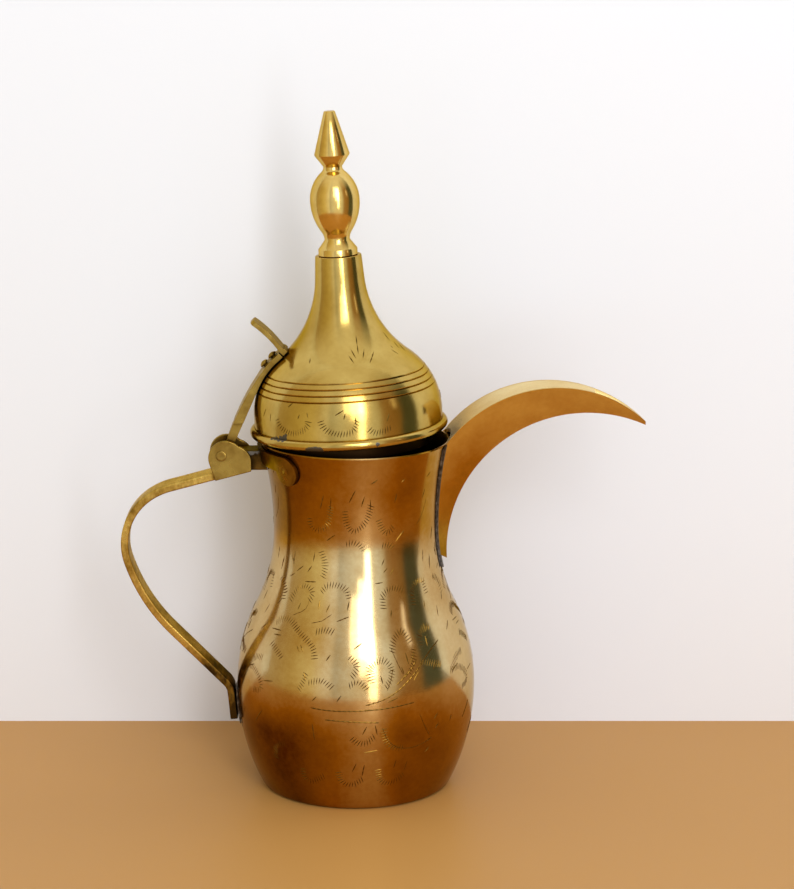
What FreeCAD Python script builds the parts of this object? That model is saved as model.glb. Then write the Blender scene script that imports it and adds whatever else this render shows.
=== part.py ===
import FreeCAD, Part
import math
import os
import re
import Sketcher

# Brass dallah coffee pot, in millimetres.
# Frame: +Z up, origin on the table under the centre of the base,
# spout towards +X, handle towards -X. The lid rests a few degrees open.

SIZES = {
    # body, turned about Z
    "base_radius": 40.3,
    "belly_radius": 51.2,
    "belly_height": 44.0,
    "neck_radius": 34.9,
    "neck_height": 112.7,
    "rim_radius": 40.4,
    "rim_height": 151.5,
    "hollow_share": 0.48,
    "body_wall": 1.2,
    "base_edge_radius": 3.4,
    "base_disc_radius": 33.0,
    "base_disc_thickness": 1.2,
    "base_seam_width": 2.4,
    "base_seam_height": 1.0,
    "joint_gap": 0.03,
    "trim_margin": 10.0,
    # spout: two arcs make the crescent, seen from the side
    "spout_top_radius": 56.5,
    "spout_top_centre_distance": 43.1,
    "spout_top_centre_drop": 33.5,
    "spout_top_start": -100.0,
    "spout_top_end": 44.5,
    "spout_keel_radius": 59.5,
    "spout_keel_centre_distance": 58.1,
    "spout_keel_centre_drop": 49.0,
    "spout_keel_start": -93.5,
    "spout_keel_end": 24.5,
    "spout_root_half_width": 16.5,
    "spout_tip_half_width": 0.8,
    "spout_sheet_thickness": 1.1,
    "spout_plate_thickness": 1.0,
    "spout_trim_height": 2.0,
    "spout_seam_width": 0.9,
    "spout_seam_height": 0.8,
    "spout_window_half_width": 8.0,
    "spout_window_drop": 9.0,
    "spout_window_height": 30.0,
    # hinge box and bracket behind the neck
    "hinge_back_distance": 16.0,
    "hinge_drop": 6.0,
    "pin_radius": 1.9,
    "pin_head_radius": 2.3,
    "pin_head_height": 0.4,
    "pin_running_gap": 0.05,
    "box_back_length": 2.6,
    "box_front_length": 12.6,
    "box_depth": 10.1,
    "cheek_thickness": 1.8,
    "cheek_radius": 7.4,
    "cheek_centre_distance": 1.9,
    "cheek_centre_drop": 1.0,
    "cheek_notch_angle": 42.0,
    "cheek_back_angle": 201.0,
    "cheek_front_radius": 7.0,
    "cheek_front_drop": 2.0,
    "strap_width": 12.0,
    "strap_thickness": 3.2,
    "strap_slope": 14.9,
    "strap_start_gap": 1.6,
    "stem_drop": 4.4,
    "stem_height": 8.0,
    "stem_step_length": 1.0,
    "stem_tongue_length": 6.0,
    "saddle_thickness": 1.6,
    "saddle_drop": 8.4,
    "saddle_height": 7.0,
    "lobe_angle": 42.9,
    "lobe_radius": 6.2,
    # handle
    "handle_shoulder_radius": 30.0,
    "handle_shoulder_turn": 14.4,
    "handle_bend_radius": 25.1,
    "handle_bend_turn": 78.7,
    "handle_bow_radius": 77.4,
    "handle_run_slope": 134.4,
    "handle_foot_bend_radius": 7.2,
    "handle_foot_length": 12.0,
    "handle_foot_height": 35.0,
    "foot_solder_thickness": 0.6,
    "foot_solder_margin": 1.5,
    # lid, turned about its own axis
    "lid_ajar": 3.3,
    "lid_offset": 2.0,
    "lid_seat_gap": 0.3,
    "lid_inset": 0.6,
    "lid_wall": 1.0,
    "lid_wall_height": 6.0,
    "lid_shoulder_radius": 31.0,
    "lid_height": 73.0,
    "spire_radius": 9.7,
    "spire_taper": 4.0,
    "spire_taper_length": 10.0,
    "spire_top_thickness": 1.2,
    "bead_radius": 2.0,
    "bead_room_gap": 0.8,
    "groove_radius": 0.4,
    "groove_first": 22.0,
    "groove_step": 5.0,
    "collar_clearance": 2.6,
    "collar_wall": 1.0,
    "collar_depth": 5.0,
    # lid arm and thumb lever
    "arm_thickness": 2.2,
    "arm_width": 13.5,
    "arm_side_gap": 0.35,
    "arm_overrun_length": 2.6,
    "arm_notch_height": 5.0,
    "knuckle_radius": 3.4,
    "knuckle_offset": 2.0,
    "lever_thickness": 1.6,
    "lever_width": 12.0,
    "lever_length": 17.5,
    "lever_lean": 42.0,
    "lever_foot_length": 5.0,
    "lever_gap": 0.4,
    # rivets
    "rivet_radius": 1.4,
    "rivet_head_radius": 2.0,
    "rivet_head_height": 1.9,
    "rivet_flush_height": 0.35,
    "rivet_tail_height": 0.9,
    "rivet_seat_gap": 0.2,
    "rove_radius": 2.8,
    "rove_thickness": 0.8,
    "drill_reach": 3.0,
    "arm_rivet_setback": 0.9,
    "arm_rivet_pitch": 4.5,
    # finial, turned about the lid's axis, heights above the spire's top
    "finial_foot_radius": 8.2,
    "finial_foot_height": 3.0,
    "finial_waist_radius": 5.3,
    "finial_waist_height": 6.5,
    "finial_bulb_radius": 10.4,
    "finial_bulb_height": 23.0,
    "finial_neck_radius": 3.9,
    "finial_neck_height": 37.0,
    "finial_cone_radius": 7.45,
    "finial_cone_height": 42.0,
    "finial_tip_radius": 2.3,
    "finial_tip_height": 60.0,
    "tenon_radius": 3.0,
    "tenon_length": 7.5,
    "washer_radius": 6.5,
    "washer_thickness": 1.0,
    "nut_flats_width": 10.0,
    "nut_thickness": 4.5,
    "thread_gap": 0.02,
}

FORMULAS = {
    # outer outline of the body: arcs with upright tangents at belly and neck
    "flare_radius": "((rim_radius-neck_radius)^2+(rim_height-neck_height)^2)/(2*(rim_radius-neck_radius))",
    "waist_sum": "((belly_radius-neck_radius)^2+(neck_height-belly_height)^2)/(2*(belly_radius-neck_radius))",
    "hollow_radius": "waist_sum*hollow_share",
    "swell_radius": "waist_sum*(1-hollow_share)",
    "foot_radius": "((belly_radius-base_radius)^2+belly_height^2)/(2*(belly_radius-base_radius))",
    "turn_z": "neck_height-(neck_height-belly_height)*hollow_share",
    "edge_x": "belly_radius-foot_radius+sqrt((foot_radius-base_edge_radius)^2"
              "-(belly_height-base_edge_radius)^2)",
    # hinge
    "hinge_x": "-(rim_radius+hinge_back_distance)",
    "hinge_z": "rim_height-hinge_drop",
    "box_half": "strap_width/2+joint_gap",
    "box_x": "hinge_x+box_front_length",
    "strap_rise": "sin(strap_slope)/cos(strap_slope)",
    # lid frame: origin in the bead's plane on the lid's axis
    "seat_z": "rim_height+lid_seat_gap+bead_radius",
    "lid_x": "hinge_x+(-lid_offset-hinge_x)*cos(lid_ajar)-(seat_z-hinge_z)*sin(lid_ajar)",
    "lid_z": "hinge_z+(-lid_offset-hinge_x)*sin(lid_ajar)+(seat_z-hinge_z)*cos(lid_ajar)",
    "pin_x": "hinge_x+lid_offset",
    "pin_z": "hinge_z-seat_z",
    "lid_radius": "rim_radius-lid_inset",
    "dome_x": "lid_radius-lid_shoulder_radius",
    "spire_joint_x": "spire_radius+spire_taper_length*sin(spire_taper)",
    "spire_joint_z": "lid_height-spire_taper_length*cos(spire_taper)",
    "sweep_run": "spire_joint_x-dome_x",
    "sweep_rise": "spire_joint_z-lid_wall_height",
    "sweep_radius": "(sweep_run^2+sweep_rise^2-lid_shoulder_radius^2)"
                    "/(2*(lid_shoulder_radius-sweep_run*cos(spire_taper)-sweep_rise*sin(spire_taper)))",
    "sweep_x": "spire_joint_x+sweep_radius*cos(spire_taper)",
    "sweep_z": "spire_joint_z+sweep_radius*sin(spire_taper)",
    "meet_angle": "atan2(sweep_z-lid_wall_height;sweep_x-dome_x)",
    "arm_end": "meet_angle-arm_overrun_length/sweep_radius*180/pi * 1 deg",
    "arm_rivet_high": "meet_angle-arm_rivet_setback/lid_shoulder_radius*180/pi * 1 deg",
    "arm_rivet_low": "arm_rivet_high-arm_rivet_pitch/lid_shoulder_radius*180/pi * 1 deg",
    "collar_radius": "neck_radius+flare_radius-sqrt((flare_radius+body_wall)^2"
                     "-(rim_height-collar_depth-neck_height)^2)-collar_clearance",
    # lid arm: an arc on the lid's shoulder, then straight past the pin
    "arm_radius": "lid_shoulder_radius+joint_gap+arm_thickness/2",
    "arm_reach": "sqrt((pin_x+dome_x)^2+(pin_z-lid_wall_height)^2)",
    "arm_leave": "acos((arm_radius+knuckle_offset)/arm_reach)-atan2(lid_wall_height-pin_z;-dome_x-pin_x)",
    # sheet stacks that the rivets hold
    "arm_stack": "arm_thickness+joint_gap+lid_wall",
    "lobe_stack": "saddle_thickness+joint_gap+body_wall",
    "lobe_z": "rim_height-saddle_drop",
    "lobe_x": "neck_radius+flare_radius-sqrt((flare_radius-joint_gap-saddle_thickness)^2"
              "-(lobe_z-neck_height)^2)",
    "lobe_tilt": "asin((lobe_z-neck_height)/(flare_radius-joint_gap-saddle_thickness))",
    # handle foot on the lower belly
    "foot_lean": "asin((belly_height-handle_foot_height)/foot_radius)",
    "foot_x": "-(belly_radius-foot_radius+(foot_radius+joint_gap+foot_solder_thickness+strap_thickness/2)"
              "*cos(foot_lean))",
    "foot_z": "belly_height-(foot_radius+joint_gap+foot_solder_thickness+strap_thickness/2)*sin(foot_lean)",
    # finial curves
    "collet_sum": "((finial_bulb_radius-finial_neck_radius)^2+(finial_neck_height-finial_bulb_height)^2)"
                  "/(2*(finial_bulb_radius-finial_neck_radius))",
    "stem_sum": "((finial_bulb_radius-finial_waist_radius)^2+(finial_bulb_height-finial_waist_height)^2)"
                "/(2*(finial_bulb_radius-finial_waist_radius))",
}

SPOUT_STATIONS = (0.0, 0.15, 0.31, 0.47, 0.63, 0.78, 0.9, 1.0)
SPOUT_HOLLOW_START = 0.06
SPOUT_HOLLOW_END = 0.9
SPOUT_SEAM_START = -0.04
SPOUT_PLATE_END = 0.82
BULB_SHARE = 0.8
COLLET_SHARE = 0.85

doc = FreeCAD.newDocument("dallah")
sheet = doc.addObject("Spreadsheet::Sheet", "dims")
for row, (alias, size) in enumerate(SIZES.items(), start=1):
    sheet.set(f"A{row}", alias.replace("_", " "))
    sheet.set(f"B{row}", str(size))
    sheet.setAlias(f"B{row}", alias)
doc.recompute()

nodes = {}


def bind(text):
    """Spell a formula for the document: sizes become sheet cells, named formulas are written out."""

    def spell(match):
        word = match.group()
        if word in SIZES:
            return "dims." + word
        if word in FORMULAS:
            return "(" + bind(FORMULAS[word]) + ")"
        return word

    return re.sub(r"[a-z][a-z_0-9]*", spell, str(text))


def value(text):
    result = sheet.evalExpression(bind(text))
    return float(getattr(result, "Value", result))


def new_body(label):
    body = doc.addObject("PartDesign::Body", label)
    body.Label = label
    return body


def lid_body(label):
    """A body drawn in the lid's frame and placed at the lid's resting angle."""
    body = new_body(label)
    body.Placement = FreeCAD.Placement(FreeCAD.Vector(), FreeCAD.Rotation(FreeCAD.Vector(0, -1, 0), 1))
    body.setExpression("Placement.Base.x", bind("lid_x"))
    body.setExpression("Placement.Base.z", bind("lid_z"))
    body.setExpression("Placement.Rotation.Angle", bind("lid_ajar * 1 deg"))
    return body


def keep(label, obj):
    obj.Label = label
    nodes[label] = obj
    return obj


def sketch_on(body, role, name):
    sketch = body.newObject("Sketcher::SketchObject", name)
    plane = next(item for item in body.Origin.OriginFeatures if item.Role == role)
    sketch.AttachmentSupport = [(plane, "")]
    sketch.MapMode = "FlatFace"
    return sketch


def offset_sketch(sketch, axis, angle, base):
    """Shift a sketch by base, a dict of axis letter to formula, and turn it about one of its own axes."""
    sketch.AttachmentOffset = FreeCAD.Placement(FreeCAD.Vector(), FreeCAD.Rotation(axis, 1))
    if angle:
        sketch.setExpression("AttachmentOffset.Rotation.Angle", bind(angle))
    else:
        sketch.AttachmentOffset = FreeCAD.Placement()
    for letter, formula in base.items():
        sketch.setExpression(f"AttachmentOffset.Base.{letter}", bind(formula))


def pin_point(sketch, geo, end, x, y):
    """Fix one end of a line or arc at the formulas x, y."""
    for kind, axis, formula in (("DistanceX", -2, x), ("DistanceY", -1, y)):
        if formula == "0":
            sketch.addConstraint(Sketcher.Constraint("PointOnObject", geo, end, axis))
        else:
            index = sketch.addConstraint(
                Sketcher.Constraint(kind, -1, 1, geo, end, value(formula)))
            sketch.setExpression(f"Constraints[{index}]", bind(formula))


def arc_between(start, stop, radius, side):
    """The shorter arc from start to stop, its centre to the left (side 1) or right (side -1) of the way."""
    chord = stop - start
    left = FreeCAD.Vector(-chord.y, chord.x, 0)
    left.normalize()
    height = math.sqrt(max(radius ** 2 - chord.Length ** 2 / 4, 0))
    centre = (start + stop) * 0.5 + left * (height * side)
    first, last = (start, stop) if side > 0 else (stop, start)
    angles = [math.atan2(point.y - centre.y, point.x - centre.x) for point in (first, last)]
    circle = Part.Circle(centre, FreeCAD.Vector(0, 0, 1), radius)
    return Part.ArcOfCircle(circle, *angles)


def outline(sketch, corners):
    """Draw a closed outline. A corner is (x, y) or (x, y, radius, side) where an arc leaves it."""
    points = [FreeCAD.Vector(value(corner[0]), value(corner[1]), 0) for corner in corners]
    first = None
    for number, corner in enumerate(corners):
        start, stop = points[number], points[(number + 1) % len(points)]
        if len(corner) == 2:
            geo = sketch.addGeometry(Part.LineSegment(start, stop))
            ends = (1, 2)
        else:
            geo = sketch.addGeometry(arc_between(start, stop, value(corner[2]), corner[3]))
            ends = (1, 2) if corner[3] > 0 else (2, 1)
            index = sketch.addConstraint(Sketcher.Constraint("Radius", geo, value(corner[2])))
            sketch.setExpression(f"Constraints[{index}]", bind(corner[2]))
        pin_point(sketch, geo, ends[0], corner[0], corner[1])
        if first is None:
            first = (geo, ends[0])
        else:
            sketch.addConstraint(Sketcher.Constraint("Coincident", *previous, geo, ends[0]))
        previous = (geo, ends[1])
    sketch.addConstraint(Sketcher.Constraint("Coincident", *previous, *first))


def circle(sketch, x, y, radius):
    centre = FreeCAD.Vector(value(x), value(y), 0)
    geo = sketch.addGeometry(Part.Circle(centre, FreeCAD.Vector(0, 0, 1), value(radius)))
    index = sketch.addConstraint(Sketcher.Constraint("Radius", geo, value(radius)))
    sketch.setExpression(f"Constraints[{index}]", bind(radius))
    pin_point(sketch, geo, 3, x, y)


def turn(body, sketch, kind="Revolution", axis="V_Axis"):
    feature = body.newObject("PartDesign::" + kind, f"{body.Name}_{kind.lower()}")
    feature.Profile = sketch
    feature.ReferenceAxis = (sketch, [axis])
    feature.Angle = 360.0
    return feature


def pad(body, sketch, length, both_ways=True):
    feature = body.newObject("PartDesign::Pad", f"{body.Name}_pad")
    feature.Profile = sketch
    feature.setExpression("Length", bind(length))
    feature.Midplane = both_ways
    return feature


def pocket(body, sketch, length, reverse=False, both_ways=False):
    feature = body.newObject("PartDesign::Pocket", f"{body.Name}_pocket")
    feature.Profile = sketch
    feature.setExpression("Length", bind(length))
    feature.Reversed = reverse
    feature.Midplane = both_ways
    return feature


def turned_body(label, corners, in_lid=False):
    """A body of revolution about its own Z axis."""
    body = lid_body(label) if in_lid else new_body(label)
    sketch = sketch_on(body, "XZ_Plane", label + "_outline")
    outline(sketch, corners)
    turn(body, sketch)
    return body


def combine(kind, name, first, second):
    feature = doc.addObject("Part::" + kind, name)
    feature.Base = first
    feature.Tool = second
    return feature


def group(label, members):
    feature = doc.addObject("Part::Compound", label)
    feature.Links = members
    return keep(label, feature)


def mirrored(name, source):
    """The far-side twin of a near-side piece."""
    feature = doc.addObject("Part::Mirroring", name)
    feature.Source = source
    feature.Normal = (0, 1, 0)
    return feature


# body shell


def outer_arcs(skin):
    """The body's outside, from near the base up to the rim, grown by skin."""
    start_z = "2*base_edge_radius"
    turn_x = ("neck_radius+hollow_radius-(neck_radius+hollow_radius-belly_radius+swell_radius)"
              f"*(hollow_radius-({skin}))/waist_sum")
    turn_z = f"neck_height-(neck_height-belly_height)*(hollow_radius-({skin}))/waist_sum"
    rim_x = (f"neck_radius+flare_radius-sqrt((flare_radius-({skin}))^2-(rim_height-neck_height)^2)")
    start_x = (f"belly_radius-foot_radius+sqrt((foot_radius+({skin}))^2-(belly_height-{start_z})^2)")
    return [
        (start_x, start_z, f"foot_radius+({skin})", 1),
        (f"belly_radius+({skin})", "belly_height", f"swell_radius+({skin})", 1),
        (turn_x, turn_z, f"hollow_radius-({skin})", -1),
        (f"neck_radius+({skin})", "neck_height", f"flare_radius-({skin})", -1),
        (rim_x, "rim_height"),
    ]


def outer_form(name, skin):
    """A solid of the body's outside, grown by skin, for fitting other pieces to it."""
    corners = [("0", "2*base_edge_radius")] + outer_arcs(skin) + [("0", "rim_height")]
    return turned_body(name, corners)


def edge_point(radius):
    """Where the base edge's round meets the lower belly, on the arc of the given radius."""
    share = f"({radius})/(foot_radius-base_edge_radius)"
    return (f"belly_radius-foot_radius+(edge_x-belly_radius+foot_radius)*{share}",
            f"belly_height-(belly_height-base_edge_radius)*{share}")


def rivet_axis(sketch, x, z, tilt):
    """Points along a rivet's axis: distance out of the sheet, distance from the axis."""

    def at(out, side):
        return (f"{x}-({out})*cos({tilt})+({side})*sin({tilt})",
                f"{z}+({out})*sin({tilt})+({side})*cos({tilt})")

    ends = [at("-20", "0"), at("20", "0")]
    points = [FreeCAD.Vector(value(px), value(pz), 0) for px, pz in ends]
    geo = sketch.addGeometry(Part.LineSegment(*points), True)
    pin_point(sketch, geo, 1, *ends[0])
    pin_point(sketch, geo, 2, *ends[1])
    return at


LOBE_PLACE = ("-(lobe_x)", "lobe_z", "-(lobe_tilt)")
ARM_PLACES = [
    (f"-(dome_x)-(lid_shoulder_radius+joint_gap+arm_thickness)*cos({angle})",
     f"lid_wall_height+(lid_shoulder_radius+joint_gap+arm_thickness)*sin({angle})",
     angle)
    for angle in ("arm_rivet_low", "arm_rivet_high")
]


def rivet(name, place, stack, head_radius, head_height, in_lid=False, turned="0 deg"):
    """A solid rivet whose head sits on the outer sheet and whose tail closes on a rove."""
    body = lid_body(name) if in_lid else new_body(name)
    sketch = sketch_on(body, "XZ_Plane", name + "_outline")
    offset_sketch(sketch, FreeCAD.Vector(0, 1, 0), turned, {})
    at = rivet_axis(sketch, *place)
    grip = f"{stack}+rivet_seat_gap+rove_thickness+joint_gap"
    dome = f"(({head_radius})^2+({head_height})^2)/(2*({head_height}))"
    outline(sketch, [
        at(f"joint_gap+{head_height}", "0") + (dome, 1),
        at("joint_gap", head_radius),
        at("joint_gap", "rivet_radius"),
        at(f"-({grip})", "rivet_radius"),
        at(f"-({grip})", "rivet_head_radius"),
        at(f"-({grip}+rivet_tail_height)", "rivet_radius"),
        at(f"-({grip}+rivet_tail_height)", "0"),
    ])
    turn(body, sketch, axis="Axis0")
    return body


def rove(name, place, stack, in_lid=False, turned="0 deg"):
    """The washer under a rivet's tail."""
    body = lid_body(name) if in_lid else new_body(name)
    sketch = sketch_on(body, "XZ_Plane", name + "_outline")
    offset_sketch(sketch, FreeCAD.Vector(0, 1, 0), turned, {})
    at = rivet_axis(sketch, *place)
    near = f"-({stack}+rivet_seat_gap)"
    far = f"-({stack}+rivet_seat_gap+rove_thickness)"
    outline(sketch, [
        at(near, "rivet_radius+joint_gap"),
        at(near, "rove_radius"),
        at(far, "rove_radius"),
        at(far, "rivet_radius+joint_gap"),
    ])
    turn(body, sketch, axis="Axis0")
    return body


def drill(body, name, place, stack, turned="0 deg"):
    """The hole for a rivet through a sheet."""
    sketch = sketch_on(body, "XZ_Plane", name)
    offset_sketch(sketch, FreeCAD.Vector(0, 1, 0), turned, {})
    at = rivet_axis(sketch, *place)
    outline(sketch, [
        at("drill_reach", "0"),
        at("drill_reach", "rivet_radius+joint_gap"),
        at(f"-({stack}+drill_reach)", "rivet_radius+joint_gap"),
        at(f"-({stack}+drill_reach)", "0"),
    ])
    turn(body, sketch, "Groove", axis="Axis0")


def build_body_shell():
    rim_inside = ("neck_radius+flare_radius-sqrt((flare_radius+body_wall)^2-(rim_height-neck_height)^2)")
    inner_share = "(hollow_radius+body_wall)/waist_sum"
    arcs = outer_arcs("0")
    corners = [
        ("base_disc_radius", "0"),
        ("edge_x", "0", "base_edge_radius", 1),
        edge_point("foot_radius") + ("foot_radius", 1),
    ] + arcs[1:] + [
        (rim_inside, "rim_height", "flare_radius+body_wall", 1),
        ("neck_radius-body_wall", "neck_height", "hollow_radius+body_wall", 1),
        ("neck_radius+hollow_radius-(neck_radius+hollow_radius-belly_radius+swell_radius)*" + inner_share,
         "neck_height-(neck_height-belly_height)*" + inner_share, "swell_radius-body_wall", -1),
        ("belly_radius-body_wall", "belly_height", "foot_radius-body_wall", -1),
        edge_point("foot_radius-body_wall") + ("base_edge_radius-body_wall", -1),
        ("edge_x", "body_wall"),
        ("base_disc_radius", "body_wall"),
    ]
    body = turned_body("body_shell", corners)
    # pouring window in the neck, behind the spout
    window = sketch_on(body, "YZ_Plane", "spout_window")
    outline(window, [
        ("0", "rim_height-spout_window_drop-spout_window_height"),
        ("spout_window_half_width", "rim_height-spout_window_drop"),
        ("-spout_window_half_width", "rim_height-spout_window_drop"),
    ])
    pocket(body, window, "rim_radius+trim_margin", reverse=True)
    for side in ("lobe_angle", "-lobe_angle"):
        drill(body, "lobe_hole", LOBE_PLACE, "lobe_stack", f"{side} * 1 deg")
    keep("body_shell", body)


def build_base():
    disc = doc.addObject("Part::Cylinder", "base_disc")
    disc.setExpression("Radius", bind("base_disc_radius-joint_gap"))
    disc.setExpression("Height", bind("base_disc_thickness"))
    keep("base_disc", disc)
    floor = "base_disc_thickness+joint_gap"
    ring = turned_body("base_solder_ring", [
        ("base_disc_radius-base_seam_width", floor),
        ("base_disc_radius+base_seam_width", floor),
        ("base_disc_radius+base_seam_width/3", floor + "+base_seam_height"),
        ("base_disc_radius-base_seam_width/3", floor + "+base_seam_height"),
    ])
    keep("base_solder_ring", ring)


# spout


def spout_station(share):
    """Side-view points of the crescent at a share of its length, and its half width there."""
    top = f"(spout_top_start+{share}*(spout_top_end-spout_top_start))"
    keel = f"(spout_keel_start+{share}*(spout_keel_end-spout_keel_start))"
    place = {
        "top_x": f"(rim_radius+spout_top_centre_distance+spout_top_radius*sin({top}))",
        "top_z": f"(rim_height-spout_top_centre_drop+spout_top_radius*cos({top}))",
        "keel_x": f"(rim_radius+spout_keel_centre_distance+spout_keel_radius*sin({keel}))",
        "keel_z": f"(rim_height-spout_keel_centre_drop+spout_keel_radius*cos({keel}))",
        "half": f"(spout_tip_half_width+(spout_root_half_width-spout_tip_half_width)*(1-{share}^2))",
    }
    place["run"] = "({top_x}-{keel_x})".format(**place)
    place["rise"] = "({top_z}-{keel_z})".format(**place)
    place["depth"] = "sqrt({run}^2+{rise}^2)".format(**place)
    # the sheet measured across the section, and the height of the inner keel
    place["across"] = "(spout_sheet_thickness*sqrt(1+({half}/{depth})^2))".format(**place)
    place["inner_keel"] = "({across}*{depth}/{half})".format(**place)
    place["inner_half"] = "({half}-{across})".format(**place)
    return place


def spout_loft(name, shares, section):
    """Loft of sections, each drawn across the crescent from keel to top."""
    body = new_body(name)
    sketches = []
    for number, share in enumerate(shares):
        place = spout_station(share)
        sketch = sketch_on(body, "YZ_Plane", f"{name}_section_{number}")
        offset_sketch(sketch, FreeCAD.Vector(1, 0, 0), "atan2({run};{rise})".format(**place),
                      {"y": place["keel_z"], "z": place["keel_x"]})
        outline(sketch, [(x.format(**place), y.format(**place)) for x, y in section])
        sketches.append(sketch)
    loft = body.newObject("PartDesign::AdditiveLoft", name + "_loft")
    loft.Profile = sketches[0]
    loft.Sections = [(sketch, "") for sketch in sketches[1:]]
    return body


def build_spout(core, seam_skin):
    outside = spout_loft("spout_outside", SPOUT_STATIONS,
                         [("0", "0"), ("{half}", "{depth}"), ("-{half}", "{depth}")])
    middle_shares = [share for share in SPOUT_STATIONS if 0 < share <= SPOUT_HOLLOW_END]
    hollow_shares = [SPOUT_HOLLOW_START] + middle_shares
    grow = "(1+spout_trim_height/({depth}-{inner_keel}))"
    hollow = spout_loft("spout_hollow", hollow_shares, [
        ("0", "{inner_keel}"),
        ("{inner_half}*" + grow, "{depth}+spout_trim_height"),
        ("-{inner_half}*" + grow, "{depth}+spout_trim_height"),
    ])
    walls = combine("Cut", "spout_walls", outside, hollow)
    # room for the lid's bead, and the near half
    bead_room = doc.addObject("Part::Cylinder", "bead_room")
    bead_room.setExpression("Radius", bind("lid_radius+joint_gap+bead_radius+bead_room_gap"))
    bead_room.setExpression("Height", bind("lid_height"))
    bead_room.setExpression("Placement.Base.x", bind("-lid_offset"))
    bead_room.setExpression("Placement.Base.z", bind("rim_height-joint_gap"))
    near_half = doc.addObject("Part::Box", "near_half")
    near_half.setExpression("Length", bind("3*rim_height"))
    near_half.setExpression("Width", bind("rim_radius"))
    near_half.setExpression("Height", bind("2*rim_height"))
    near_half.setExpression("Placement.Base.y", bind("-rim_radius"))
    trimmed = combine("Cut", "spout_walls_on_neck", walls, core)
    cleared = combine("Cut", "spout_walls_clear", trimmed, bead_room)
    near = combine("Common", "spout_near_wall", cleared, near_half)
    keep("spout_near_wall", near)
    keep("spout_far_wall", mirrored("spout_far_wall", near))
    # closing plate along the top, between the walls
    plate_shares = [share for share in SPOUT_STATIONS if share < SPOUT_PLATE_END] + [SPOUT_PLATE_END]
    lower_half = "({inner_half}*(1-spout_plate_thickness/({depth}-{inner_keel}))-joint_gap)"
    plate = spout_loft("spout_plate_blank", plate_shares, [
        (lower_half, "{depth}-spout_plate_thickness"),
        ("({inner_half}-joint_gap)", "{depth}"),
        ("-({inner_half}-joint_gap)", "{depth}"),
        ("-" + lower_half, "{depth}-spout_plate_thickness"),
    ])
    plate_on_neck = combine("Cut", "spout_plate_on_neck", plate, core)
    keep("spout_top_plate", combine("Cut", "spout_top_plate", plate_on_neck, bead_room))
    # solder seam round the root, on the neck's skin
    wide = spout_loft("spout_seam_outside", [SPOUT_SEAM_START] + middle_shares, [
        ("0", "-spout_seam_width*{depth}/{half}"),
        ("{half}+spout_seam_width", "{depth}"),
        ("-({half}+spout_seam_width)", "{depth}"),
    ])
    band = combine("Common", "spout_seam_band", wide, seam_skin)
    on_neck = combine("Cut", "spout_seam_on_neck", band, core)
    clearance = spout_loft("spout_seam_inside", SPOUT_STATIONS[:-1], [
        ("0", "-joint_gap*{depth}/{half}"),
        ("({half}+joint_gap)*(1+spout_trim_height/{depth})", "{depth}+spout_trim_height"),
        ("-({half}+joint_gap)*(1+spout_trim_height/{depth})", "{depth}+spout_trim_height"),
    ])
    keep("spout_solder_seam", combine("Cut", "spout_solder_seam", on_neck, clearance))


# bracket, hinge box and handle


def strap_bottom(x):
    """Height of the strap's underside inside the hinge box."""
    return f"(hinge_z-box_depth+(({x})-hinge_x)*strap_rise)"


def strap_top(x):
    return f"({strap_bottom(x)}+strap_thickness/cos(strap_slope)+joint_gap)"


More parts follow.
